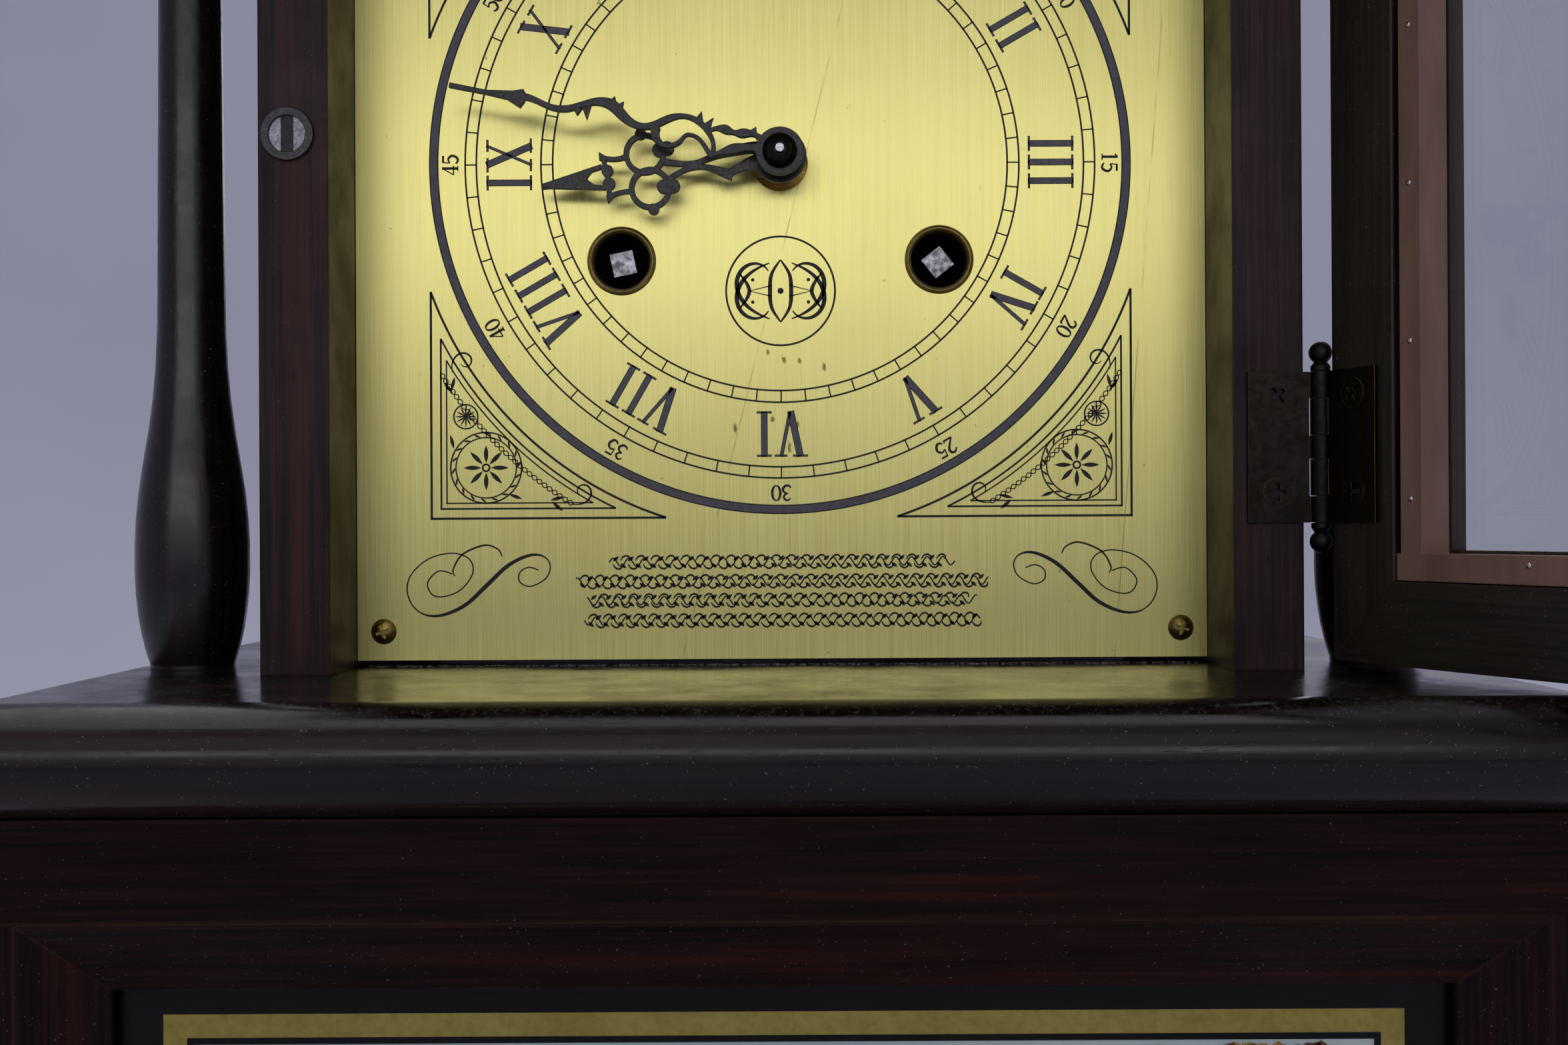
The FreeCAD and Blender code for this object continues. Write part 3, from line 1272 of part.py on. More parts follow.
def minute_hand_faces():
    """The minute hand along +X: a barbed needle, a serpentine band and an inner scroll."""
    length = num(sizes.minute_hand_length)
    needle = blade([(length, 0.42), (52.0, 0.35), (48.2, 0.5), (45.7, 1.5), (45.1, 0.3),
                    (45.1, -1.0), (45.7, -1.8), (47.5, -1.15), (52.0, -0.4), (length, -0.42)])
    band = ribbon([(46.0, -0.5), (43.5, -0.4), (40.4, 0.3), (37.6, 0.0), (35.0, -1.3),
                   (32.3, -2.3), (30.1, -2.1), (28.2, -0.9), (26.5, 0.1), (24.4, 0.5),
                   (22.2, -0.2), (20.1, -1.7), (17.4, -2.7), (14.7, -2.2), (12.7, -0.7),
                   (11.6, 0.9), (11.5, 3.0)],
                  [1.2, 1.0, 1.0, 1.1, 1.0, 1.4, 1.9, 1.8, 1.4, 1.1, 1.2, 1.2, 0.8, 1.0, 0.9, 0.8,
                   0.9])
    scroll = ribbon([(21.7, 0.0), (21.6, 1.8), (20.2, 2.9), (18.3, 2.6), (17.2, 1.6), (16.5, 0.5),
                     (15.2, 0.3), (13.7, 1.0), (12.5, 2.2), (11.2, 3.2)],
                    [1.5, 1.4, 0.9, 0.8, 0.7, 0.6, 0.6, 0.7, 0.8, 0.9])
    lower_bar = ribbon([(11.8, 3.2), (9.7, 2.1), (8.0, 1.2), (5.5, 0.5), (3.0, 0.2)],
                       [0.8, 1.0, 1.7, 1.2, 2.6])
    upper_bar = ribbon([(12.6, -1.1), (11.2, -1.8), (9.7, -1.8), (8.4, -1.6), (7.2, -1.7),
                        (5.2, -2.0), (3.4, -1.3)], [0.7, 0.9, 1.5, 0.8, 1.5, 0.9, 1.6])
    spikes = [[(30.7, -2.7), (29.9, -3.7), (29.2, -2.2)], [(29.4, -2.2), (28.2, -3.1), (28.2, -1.0)],
              [(36.5, 0.0), (35.7, 0.9), (35.0, -0.6)], [(35.1, -0.6), (33.9, 1.3), (33.6, -1.4)],
              [(15.5, -2.5), (14.6, -4.1), (13.9, -2.1)], [(13.8, -2.0), (12.4, -3.4), (12.6, -0.9)],
              [(6.4, -1.9), (4.8, -3.3), (4.3, -1.6)]]
    return [needle, band, scroll, lower_bar, upper_bar] + [blade(spike) for spike in spikes]


def hour_hand_faces():
    """The hour hand along +X: a hollow arrow head, two hoops with beads and tail scrolls."""
    length = num(sizes.hour_hand_length)
    head = blade([(length, 0.4), (31.2, 2.1), (30.6, 1.5), (33.0, 0.9), (34.2, -0.3), (33.2, -1.3),
                  (30.8, -1.8), (31.4, -2.5), (length, -0.4)])
    bar = ribbon([(31.0, -3.9), (30.6, -1.3), (30.5, 1.1), (30.7, 3.6)], [0.8, 0.9, 0.9, 0.8])
    hoops = [hoop(23.5, -3.35, 3.75, 2.8), hoop(23.3, 2.8, 3.8, 2.8)]
    links = [ribbon([(26.8, -3.3), (29.0, -3.1), (31.1, -3.7)], [0.9, 0.8, 0.9]),
             ribbon([(26.6, 2.9), (28.9, 2.9), (30.9, 3.5)], [0.9, 0.8, 0.9])]
    beads = [spot(30.4, -1.2, 1.05), spot(30.4, 1.1, 1.1), spot(23.8, -6.9, 1.0),
             spot(23.2, 6.5, 1.0), spot(20.9, -3.7, 1.25), spot(19.5, -3.8, 1.25),
             spot(20.9, 2.8, 1.25), spot(19.3, 2.9, 1.25)]
    spikes = [blade([(31.6, -3.2), (31.5, -4.7), (29.6, -3.2)]),
              blade([(31.2, 3.1), (31.0, 4.5), (29.4, 3.1)])]
    tails = [ribbon([(20.6, -1.6), (17.8, -0.9), (14.9, -0.6), (11.9, -1.3), (9.0, -1.8),
                     (3.5, -2.0)], [1.2, 1.0, 1.0, 1.1, 1.5, 2.0]),
             ribbon([(19.8, 1.6), (17.4, 0.5), (15.0, 0.1), (12.6, 0.5), (10.4, 1.5), (8.6, 2.3)],
                    [0.9, 0.9, 0.9, 1.0, 1.5, 2.0]),
             ribbon([(9.4, 2.0), (7.6, 1.3), (5.4, 0.7), (3.0, 0.4)], [1.4, 1.5, 2.2, 2.6])]
    return [head, bar] + hoops + links + beads + spikes + tails


# ---------------------------------------------------------------- build, check, export

def check_document():
    """Stop if any feature failed or any sub-part has no sound shape."""
    for obj in doc.Objects:
        if "Invalid" in obj.State or "Error" in obj.State:
            raise RuntimeError(f"{obj.Label}: {obj.State}")
    for obj in subparts:
        if obj.Shape.isNull() or not obj.Shape.isValid() or not obj.Shape.Solids:
            raise RuntimeError(f"{obj.Label}: bad shape")


def export():
    os.makedirs("parts", exist_ok=True)
    for obj in subparts:
        obj.Shape.exportStep(f"parts/{obj.Label}.step")
    print(f"{len(subparts)} sub-parts written")


base_boards()
base_face_frame()
panel_moulding()
picture()
hood_boards()
columns()
dial()
catch()
hinges()
front_door()
rear_door()
going_train()
strike_train()
winding_arbors()
movement_frame()
pallets_and_pendulum()
motion_work()
hands()
doc.recompute()
check_document()
export()
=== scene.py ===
"""Looks of the pillar shelf clock.

Finishes for its CAD parts, the printing on its dial and its panel, and the studio.
"""

import json
import math
import random

import bpy
from mathutils import Matrix, Vector

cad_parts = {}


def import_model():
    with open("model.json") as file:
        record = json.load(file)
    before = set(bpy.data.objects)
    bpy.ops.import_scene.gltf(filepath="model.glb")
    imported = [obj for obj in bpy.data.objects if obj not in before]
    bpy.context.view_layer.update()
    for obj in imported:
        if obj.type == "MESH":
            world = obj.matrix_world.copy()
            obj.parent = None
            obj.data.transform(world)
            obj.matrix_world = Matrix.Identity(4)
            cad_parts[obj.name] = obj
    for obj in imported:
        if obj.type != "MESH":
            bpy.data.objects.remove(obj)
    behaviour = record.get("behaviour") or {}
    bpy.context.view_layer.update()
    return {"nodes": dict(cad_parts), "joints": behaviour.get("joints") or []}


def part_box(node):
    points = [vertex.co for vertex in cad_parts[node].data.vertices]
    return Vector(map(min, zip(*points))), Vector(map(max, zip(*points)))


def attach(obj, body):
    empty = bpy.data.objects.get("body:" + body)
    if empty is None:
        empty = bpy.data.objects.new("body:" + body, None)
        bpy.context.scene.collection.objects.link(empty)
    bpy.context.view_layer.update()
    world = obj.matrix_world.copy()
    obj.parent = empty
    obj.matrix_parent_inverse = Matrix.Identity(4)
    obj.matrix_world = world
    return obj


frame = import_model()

MM = 0.001


# ---------------------------------------------------------------- places read from the frame

def joint(name):
    return next(entry for entry in frame["joints"] if entry["name"] == name)


def middle(node):
    low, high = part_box(node)
    return (low + high) / 2


DIAL_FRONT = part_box("dial_plate")[0].y
HUB = Vector(joint("minute_hand_turn")["pos_m"])
DOOR = joint("front_door_swing")
DOOR_HINGE = Vector(DOOR["pos_m"])
DOOR_OPEN = math.radians(-DOOR["range_deg"][0])
OPENED = (Matrix.Translation(DOOR_HINGE) @ Matrix.Rotation(DOOR_OPEN, 4, "Z")
          @ Matrix.Translation(-DOOR_HINGE))


def shut_box(node):
    """A door node's lowest and highest corners, in the row frame with the door shut."""
    shut = OPENED.inverted()
    points = [shut @ vertex.co for vertex in frame["nodes"][node].data.vertices]
    return (Vector([min(point[axis] for point in points) for axis in range(3)]),
            Vector([max(point[axis] for point in points) for axis in range(3)]))


# ---------------------------------------------------------------- node materials

def colour(text):
    """A display colour such as "8a6f52" as linear RGBA."""
    parts = [int(text[at:at + 2], 16) / 255 for at in (0, 2, 4)]
    return tuple(part / 12.92 if part < 0.04045 else ((part + 0.055) / 1.055) ** 2.4
                 for part in parts) + (1.0,)


class Finish:
    """A node material made of patterns in the object's own coordinates, in metres."""

    def __init__(self, name, **values):
        self.material = bpy.data.materials.new(name)
        self.material.use_nodes = True
        self.tree = self.material.node_tree
        self.shader = self.tree.nodes["Principled BSDF"]
        self.place = self.add("TexCoord").outputs["Object"]
        self.set(**values)

    def set(self, **values):
        """Give the shader's sockets plain values or patterns; base_color means Base Color."""
        for key, value in values.items():
            words = key.replace("_", " ").title().replace("Ior", "IOR")
            self.feed(self.shader.inputs[words], value)
        return self

    def feed(self, socket, value):
        if isinstance(value, bpy.types.NodeSocket):
            self.tree.links.new(value, socket)
        else:
            socket.default_value = value

    def add(self, kind, settings=None, **inputs):
        node = self.tree.nodes.new("ShaderNode" + kind)
        for key, value in (settings or {}).items():
            setattr(node, key, value)
        for key, value in inputs.items():
            self.feed(node.inputs[key], value)
        return node

    def noise(self, per_metre, detail=3.0, roughness=0.55, turn=0.0, warp=0.0):
        """Noise with its own frequency along each axis, turned about Z."""
        turned = self.add("Mapping", Vector=self.place, Rotation=(0, 0, turn))
        stretched = self.add("Mapping", Vector=turned.outputs[0], Scale=per_metre)
        return self.add("TexNoise", Vector=stretched.outputs[0], Scale=1.0, Detail=detail,
                        Roughness=roughness, Distortion=warp).outputs[0]

    def remap(self, value, low, high, to_low=0.0, to_high=1.0):
        return self.add("MapRange", {"interpolation_type": "SMOOTHSTEP"}, Value=value,
                        **{"From Min": low, "From Max": high, "To Min": to_low,
                           "To Max": to_high}).outputs[0]

    def math(self, operation, first, second=0.0):
        node = self.add("Math", {"operation": operation})
        self.feed(node.inputs[0], first)
        self.feed(node.inputs[1], second)
        return node.outputs[0]

    def vector(self, operation, first, second):
        """The number that a vector operation such as DISTANCE gives."""
        node = self.add("VectorMath", {"operation": operation})
        self.feed(node.inputs[0], first)
        self.feed(node.inputs[1], second)
        return node.outputs["Value"]

    def mix(self, share, first, second):
        node = self.add("Mix", {"data_type": "RGBA"})
        self.feed(node.inputs[0], share)
        self.feed(node.inputs[6], first)
        self.feed(node.inputs[7], second)
        return node.outputs[2]

    def ramp(self, value, *stops):
        node = self.add("ValToRGB", Fac=value)
        points = node.color_ramp.elements
        while len(points) < len(stops):
            points.new(0.5)
        for point, (position, tone) in zip(points, stops):
            point.position = position
            point.color = tone
        return node.outputs[0]

    def axis(self, letter):
        return self.add("SeparateXYZ", Vector=self.place).outputs[letter]

    def facing_up(self):
        """1 on faces that look up, 0 on the others."""
        normal = self.add("NewGeometry").outputs["Normal"]
        return self.remap(self.add("SeparateXYZ", Vector=normal).outputs["Z"], 0.6, 0.9)

    def rounded(self, radius):
        """The normal with sharp edges softened over a radius."""
        return self.add("Bevel", {"samples": 4}, Radius=radius).outputs[0]

    def edges(self, soft):
        """1 along sharp edges, from how far the softened normal leans from the true one."""
        true = self.add("NewGeometry").outputs["Normal"]
        return self.remap(self.vector("DOT_PRODUCT", true, soft), 0.985, 0.86)

    def bump(self, height, distance, normal=None, strength=1.0):
        node = self.add("Bump", Height=height, Distance=distance, Strength=strength)
        if normal is not None:
            self.feed(node.inputs["Normal"], normal)
        return node.outputs[0]


ACROSS, UP = 0, 2


def wood(name, along, dark, light, warm, gloss=0.2, dust=0.15, turn=0.0, blotch=0.4, shine=0.5):
    """Polished wood; along is its grain's axis, ACROSS or UP, after turning about Z."""
    def grain(lengthwise, crosswise):
        return tuple(lengthwise if axis == along else crosswise for axis in range(3))

    finish = Finish(name)
    fibre = finish.noise(grain(28, 1300), 4.0, 0.6, turn)
    bands = finish.noise(grain(5, 110), 2.0, 0.5, turn, 0.6)
    pores = finish.noise(grain(260, 2600), 2.0, 0.5, turn)
    cloud = finish.noise((38, 38, 38), 3.0, 0.6)
    streaks = finish.mix(finish.remap(fibre, 0.35, 0.72), colour(dark), colour(light))
    figured = finish.mix(finish.remap(bands, 0.52, 0.78, 0.0, 0.75), streaks, colour(warm))
    shaded = finish.mix(finish.remap(cloud, 0.45, 0.75, 0.0, blotch), figured, colour(dark))
    pored = finish.mix(finish.remap(pores, 0.66, 0.74, 0.0, 0.8), shaded, colour("050303"))
    soft = finish.rounded(0.0007)
    # sharp edges are painted a lighter reddish 5a3a2c: part rubbed wear, part painted highlight
    # along the arrises
    worn_and_highlit = finish.math("MULTIPLY", finish.edges(soft), finish.remap(cloud, 0.3, 0.7, 0.15, 0.6))
    edged = finish.mix(worn_and_highlit, pored, colour("5a3a2c"))
    specks = finish.remap(finish.noise((2600, 2600, 2600), 1.0, 0.5), 0.735, 0.78)
    settled = finish.remap(finish.noise((900, 900, 900), 4.0, 0.75), 0.50, 0.80, 0.0, dust)
    lying = finish.math("MULTIPLY", settled, finish.facing_up())
    dusty = finish.math("MAXIMUM", lying, finish.math("MULTIPLY", specks, 0.5))
    dulled = finish.remap(finish.noise((55, 55, 55), 4.0, 0.65), 0.3, 0.75, gloss, gloss + 0.2)
    height = finish.math("SUBTRACT", fibre, finish.remap(pores, 0.64, 0.76))
    finish.set(base_color=finish.mix(dusty, edged, colour("8d8a86")), specular_ior_level=shine,
               roughness=finish.math("ADD", dulled, finish.math("MULTIPLY", dusty, 0.5)),
               normal=finish.bump(height, 0.00003, soft, 0.35))
    return finish.material


def metal(name, base, dark, roughness=0.35, grain=(900, 900, 900), tarnish=0.5, edge=None,
          radius=0.00012, relief=0.00001):
    """Metal with fine grain, tarnish in clouds, and sharp edges painted bright: part rubbed wear,
    part painted glint.
    """
    finish = Finish(name, metallic=1.0)
    fine = finish.noise(grain, 3.0, 0.6)
    cloud = finish.noise((120, 120, 120), 4.0, 0.65)
    body = finish.mix(finish.remap(cloud, 0.35, 0.75, 0.0, tarnish), colour(base), colour(dark))
    lined = finish.mix(finish.remap(fine, 0.4, 0.7, 0.0, 0.35), body, colour(dark))
    soft = finish.rounded(radius)
    if edge:
        # the edge colour paints sharp edges bright: part rubbed wear, part painted glint
        rubbed_and_glint = finish.math("MULTIPLY", finish.edges(soft), finish.remap(cloud, 0.35, 0.6))
        lined = finish.mix(rubbed_and_glint, lined, colour(edge))
    finish.set(base_color=lined,
               roughness=finish.remap(fine, 0.3, 0.7, roughness - 0.07, roughness + 0.12),
               normal=finish.bump(fine, relief, soft, 0.6))
    return finish.material


# x and z from the hands' centre and the radius, in millimetres
AGE_SPOTS = ((-2.3, -34.0, 0.4), (0.5, -35.2, 0.5), (3.3, -35.4, 0.35), (7.8, -36.5, 0.45),
             (-8.2, -47.5, 0.5), (-1.6, -46.0, 0.45), (1.4, -51.0, 0.5), (2.9, -47.0, 0.35))
# how far each leans, its offset in metres and how often it breaks in a metre
SCRATCHES = ((0.25, 0.0745, 160), (-0.12, 0.0545, 220), (0.08, -0.0415, 90))


def brushed_dial():
    """Pale lacquered brass with a vertical brush, long faint scratches and small age spots."""
    finish = Finish("dial_brass", metallic=1.0, anisotropic=0.6)
    streak = finish.noise((5200, 5200, 34), 3.0, 0.65)
    wide = finish.noise((900, 900, 7), 3.0, 0.6)
    cloud = finish.noise((30, 30, 30), 3.0, 0.6)
    brushed = finish.ramp(finish.remap(streak, 0.25, 0.75), (0.0, colour("d6ca7a")),
                          (0.5, colour("e3db89")), (1.0, colour("ece699")))
    banded = finish.mix(finish.remap(wide, 0.35, 0.7, 0.0, 0.16), brushed, colour("d0c273"))
    toned = finish.mix(finish.remap(cloud, 0.4, 0.8, 0.0, 0.2), banded, colour("cbb963"))
    spots = finish.remap(finish.noise((420, 420, 420), 2.0, 0.6), 0.735, 0.80, 0.0, 0.6)
    marks = finish.mix(spots, toned, colour("6d5a2a"))
    ragged = finish.remap(finish.noise((1500, 1500, 700), 3.0, 0.6), 0.3, 0.7, 0.4, 1.5)
    for x, z, size in AGE_SPOTS:
        flat = finish.add("CombineXYZ", X=finish.axis("X"), Y=0.0,
                          Z=finish.math("MULTIPLY", finish.axis("Z"), 0.5)).outputs[0]
        gap = finish.vector("DISTANCE", flat, (HUB.x + x * MM, 0.0, (HUB.z + z * MM) / 2))
        near = finish.math("DIVIDE", gap, finish.math("MULTIPLY", ragged, size))
        marks = finish.mix(finish.remap(near, MM, 0.4 * MM, 0.0, 0.75), marks, colour("4a3513"))
    for lean, offset, breaks in SCRATCHES:
        across = finish.math("ADD", finish.axis("X"),
                             finish.math("MULTIPLY", finish.axis("Z"), -lean))
        gap = finish.math("ABSOLUTE", finish.math("ADD", across, offset))
        broken = finish.remap(finish.noise((breaks, breaks, breaks), 2.0, 0.5), 0.42, 0.60)
        line = finish.math("MULTIPLY", finish.remap(gap, 0.00016, 0.00005), broken)
        marks = finish.mix(finish.math("MULTIPLY", line, 0.5), marks, colour("7c6a35"))
    finish.set(base_color=marks,
               roughness=finish.remap(streak, 0.3, 0.7, 0.33, 0.41),
               normal=finish.bump(streak, 0.00001, None, 0.12),
               tangent=finish.add("CombineXYZ", X=1.0, Y=0.0, Z=0.0).outputs[0])
    return finish.material


def ink(name, tone, patch, shine=0.3):
    """Etched and filled lettering: dull, a little uneven."""
    finish = Finish(name, specular_ior_level=shine)
    cloud = finish.noise((700, 700, 700), 3.0, 0.6)
    grit = finish.noise((5200, 5200, 900), 2.0, 0.6)
    finish.set(base_color=finish.mix(finish.remap(cloud, 0.35, 0.7), colour(tone), colour(patch)),
               roughness=finish.remap(grit, 0.3, 0.7, 0.42, 0.62),
               normal=finish.bump(grit, 0.00001, None, 0.5))
    return finish.material


def pane(name, gloss="ffffff"):
    """Clear glass that lets lamps through, with faint smears."""
    finish = Finish(name, transmission_weight=1.0, ior=1.45, base_color=colour("f4f8f6"),
                    specular_tint=colour(gloss))
    smear = finish.noise((45, 45, 14), 4.0, 0.7)
    finish.set(roughness=finish.remap(smear, 0.45, 0.8, 0.0, 0.06))
    clear = finish.add("BsdfTransparent", Color=colour("eef3f1"))
    shadow = finish.add("LightPath").outputs["Is Shadow Ray"]
    both = finish.add("MixShader", Fac=shadow)
    finish.tree.links.new(finish.shader.outputs[0], both.inputs[1])
    finish.tree.links.new(clear.outputs[0], both.inputs[2])
    finish.tree.links.new(both.outputs[0], finish.tree.nodes["Material Output"].inputs[0])
    return finish.material


def paint(name, base, patch, roughness, per_metre, relief):
    """Paint, stain or plastic in two close tones with a slight texture."""
    finish = Finish(name)
    cloud = finish.noise(per_metre, 4.0, 0.6)
    fine = finish.noise(tuple(5 * rate for rate in per_metre), 3.0, 0.6)
    soft = finish.rounded(0.00025)
    finish.set(base_color=finish.mix(finish.remap(cloud, 0.35, 0.7), colour(base), colour(patch)),
               roughness=finish.remap(fine, 0.3, 0.7, roughness - 0.08, roughness + 0.1),
               normal=finish.bump(fine, relief, soft, 0.4))
    return finish.material


TURNING_MARKS = 26000.0  # radians in a metre, outwards from the arbor's middle


def winding_steel(name, arbor):
    """A square end turned bright at its face, with painted shade darkening it further into the
    winding hole.
    """
    finish = Finish(name, metallic=1.0)
    centre = middle(arbor)
    flat = finish.add("CombineXYZ", X=finish.axis("X"), Y=0.0, Z=finish.axis("Z")).outputs[0]
    gap = finish.vector("DISTANCE", flat, (centre.x, 0.0, centre.z))
    rings = finish.math("SINE", finish.math("MULTIPLY", gap, TURNING_MARKS))
    cloud = finish.noise((900, 900, 900), 3.0, 0.6)
    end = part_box(arbor)[0].y
    # painted shade: the square goes near black 0b0b0c further into the winding hole
    inward = finish.remap(finish.axis("Y"), end + 0.3 * MM, end + 3.5 * MM)
    bright = finish.mix(finish.remap(cloud, 0.35, 0.7), colour("d5d6d8"), colour("77787c"))
    finish.set(base_color=finish.mix(inward, bright, colour("0b0b0c")),
               roughness=finish.remap(cloud, 0.3, 0.7, 0.2, 0.42),
               normal=finish.bump(finish.math("ADD", rings, cloud), 0.00004, None, 0.5))
    return finish.material


# ---------------------------------------------------------------- finishes of the CAD parts

CASE_TONES = ("0d0504", "260f0b", "3f1a10")
DOOR_TONES = ("100c09", "2a2019", "3a2a1a")
case_level = wood("wood_level", ACROSS, *CASE_TONES, shine=0.1)
case_upright = wood("wood_upright", UP, *CASE_TONES, shine=0.1)
case_deep = wood("wood_deep", UP, *CASE_TONES, gloss=0.26, shine=0.2)
ledge_wood = wood("wood_ledge", ACROSS, "0a0606", "1a0f0e", "2a1511", gloss=0.1, dust=0.2,
                  shine=0.3)
jamb_wood = wood("wood_jamb", UP, "170d0e", "3a2120", "4f2822", gloss=0.36, blotch=0.7,
                 shine=0.2)
column_wood = wood("wood_column", UP, "0b0707", "1d1110", "33190f", gloss=0.16)
stile_wood = wood("wood_stile", UP, *DOOR_TONES, gloss=0.32)
rail_wood = wood("wood_rail", ACROSS, *DOOR_TONES, gloss=0.32, turn=-DOOR_OPEN)
raw_board = wood("wood_back", ACROSS, "3a2a1e", "5a4330", "6b4f38", gloss=0.5)
bead_brown = paint("bead_brown", "86655a", "6f5146", 0.42, (90, 90, 25), 0.00002)
# edge colour 8c7340 paints rubbed edges bright: part worn bronze, part painted glint
bronze = metal("dark_bronze", "2b2723", "1a1715", 0.38, tarnish=0.7, edge="8c7340")
black_satin = paint("black_satin", "0b0b0c", "141414", 0.36, (400, 400, 400), 0.00001)
charcoal = paint("charcoal_ring", "17171a", "242427", 0.35, (500, 500, 500), 0.00002)
magnet_grey = paint("magnet_grey", "1b1b1d", "2a2a2c", 0.6, (900, 900, 900), 0.00004)
steel = metal("bright_steel", "c9c9cb", "8d8d92", 0.24, (1500, 1500, 1500), 0.3)
turned_steel = metal("turned_steel", "b9bac0", "5f6067", 0.3, (2600, 2600, 2600), 0.4,
                     relief=0.00004)
pole_steel = metal("pole_steel", "8b8c90", "55565b", 0.4, (2600, 2600, 2600), 0.4,
                   relief=0.00004)
# edge colour d9c27c paints sharp edges bright: part rubbed wear, part painted glint
aged_brass = metal("aged_brass", "b39b57", "5a4c25", 0.34, (1300, 1300, 1300), 0.75, "d9c27c",
                   relief=0.00003)
movement_brass = metal("movement_brass", "c2a050", "8a6c2e", 0.3, (260, 260, 2200), 0.35)
# dark brass for the plates: painted shade, so the movement seen through the winding holes reads
# dark, with tarnish in clouds
plate_brass_painted_shade = metal("plate_brass_painted_shade", "7d6a38", "3f3418", 0.42, (2400, 260, 160), 0.6)
bob_brass = metal("bob_brass", "d8be68", "a98d42", 0.2, (160, 160, 160), 0.3)


cast_iron = paint("cast_block", "26282a", "33353a", 0.6, (800, 800, 800), 0.00012)
FINISHED_NODES = (
    (case_level, "plinth_board cornice_board top_cap"),
    (case_upright, "base_sides"),
    (case_deep, "rear_door_panel"),
    (ledge_wood, "ledge_board"),
    (jamb_wood, "hood_sides"),
    (column_wood, "columns"),
    (stile_wood, "door_stiles"),
    (rail_wood, "door_rails"),
    (raw_board, "base_back dial_battens"),
    (bead_brown, "glass_beads"),
    (pane("panel_glass_clear", gloss="6a6a6a"), "panel_glass"),
    (pane("door_glass_clear"), "door_glass"),
    (paint("print_sky", "b9cbdc", "dfe4e4", 0.6, (14, 14, 34), 0.00002), "picture_panel"),
    (brushed_dial(), "dial_plate"),
    (black_satin, "minute_hand hour_hand"),
    (charcoal, "catch_housing"),
    (magnet_grey, "catch_magnet"),
    (pole_steel, "catch_poles"),
    (bronze, "hinge_case_leaves hinge_case_screws hinge_pins hinge_door_leaves "
             "hinge_door_screws rear_door_hinges cannon_pinion hand_nut"),
    (aged_brass, "winding_eyelets dial_screws door_knob rear_turn_button rating_nut"),
    (steel, "catch_strike minute_post chime_rods pallet_arbor pendulum_rod"),
    (turned_steel, "centre_arbor"),
    (winding_steel("time_square", "time_winding_arbor"), "time_winding_arbor"),
    (winding_steel("strike_square", "strike_winding_arbor"), "strike_winding_arbor"),
    (plate_brass_painted_shade, "front_plate back_plate"),
    (movement_brass, "plate_pillars suspension_cock minute_wheel hour_wheel third_wheel "
                     "second_wheel escape_wheel time_barrel pin_wheel strike_barrel hammers"),
    (bob_brass, "pendulum_bob"),
    (cast_iron, "rod_block"),
)


def repaint(node, *finishes, choose=None):
    """Assign finishes to a CAD node; choose gives a face's finish number from its middle."""
    mesh = frame["nodes"][node].data
    mesh.materials.clear()
    for finish in finishes:
        mesh.materials.append(finish)
    for face in mesh.polygons:
        face.material_index = choose(face.center) if choose else 0


for node_finish, node_names in FINISHED_NODES:
    for node_name in node_names.split():
        repaint(node_name, node_finish)

# stiles and upright mouldings have their grain upright, rails and level mouldings across
STILE_WIDTH, NEAR = 7.4 * MM, 0.1 * MM
face_frame_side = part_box("base_face_frame")[1].x
repaint("base_face_frame", case_level, case_upright,
        choose=lambda spot: int(face_frame_side - abs(spot.x) < STILE_WIDTH + NEAR))
mould_low, mould_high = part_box("panel_moulding")
mould_middle = middle("panel_moulding")
mould_half = (mould_high - mould_low) / 2
repaint("panel_moulding", case_level, case_upright,
        choose=lambda spot: int(abs(spot.x) - mould_half.x
                                > abs(spot.z - mould_middle.z) - mould_half.z))


def slimmed(node, amount):
    """Draw a pane's faces in a little, so that it doesn't share a plane with its neighbours."""
    shrink = frame["nodes"][node].modifiers.new("slim", "DISPLACE")
    shrink.strength = -amount * math.sqrt(3)  # a box's corner normals lean equally to 3 faces
    shrink.mid_level = 0.0


PRINT_ROOM, PUTTY_ROOM = 0.3 * MM, 0.03 * MM
slimmed("panel_glass", PRINT_ROOM)
slimmed("door_glass", PUTTY_ROOM)


# ---------------------------------------------------------------- flat drawing

def smooth(points, steps=8, closed=False):
    """A Catmull-Rom line through points."""
    count = len(points)
    if closed:
        knots = [points[-1], *points, points[0], points[1]]
    else:
        knots = [points[0], *points, points[-1]]
    line = []
    for start in range(count if closed else count - 1):
        before, first, second, after = (Vector(knots[start + at]) for at in range(4))
        for step in range(steps):
            t = step / steps
            line.append(0.5 * (2 * first + (second - before) * t
                               + (2 * before - 5 * first + 4 * second - after) * t ** 2
                               + (3 * first - before - 3 * second + after) * t ** 3))
    line.append(Vector(points[0] if closed else points[-1]))
    return [tuple(point) for point in line]


def arc(x, y, radius, start, end, steps=24):
    """Points on a circle between two angles in degrees, counted anticlockwise from +X."""
    angles = [math.radians(start + (end - start) * step / steps) for step in range(steps + 1)]
    return [(x + radius * math.cos(angle), y + radius * math.sin(angle)) for angle in angles]


def swell(count, thin, thick):
    """Widths that grow from thin to thick and back along a stroke of count points."""
    return [thin + (thick - thin) * math.sin(math.pi * at / (count - 1)) for at in range(count)]


def run_at(line, at):
    """The way a line runs at one of its points, as two components and their length."""
    before, after = line[max(at - 1, 0)], line[min(at + 1, len(line) - 1)]
    if line[0] == line[-1] and at in (0, len(line) - 1):
        before, after = line[-2], line[1]
    dx, dy = after[0] - before[0], after[1] - before[1]
    return dx, dy, math.hypot(dx, dy) or 1.0


PRINT_HEIGHT, FILL_HEIGHT = 0.04 * MM, 0.03 * MM
CLOSED_GAP = 1e-6


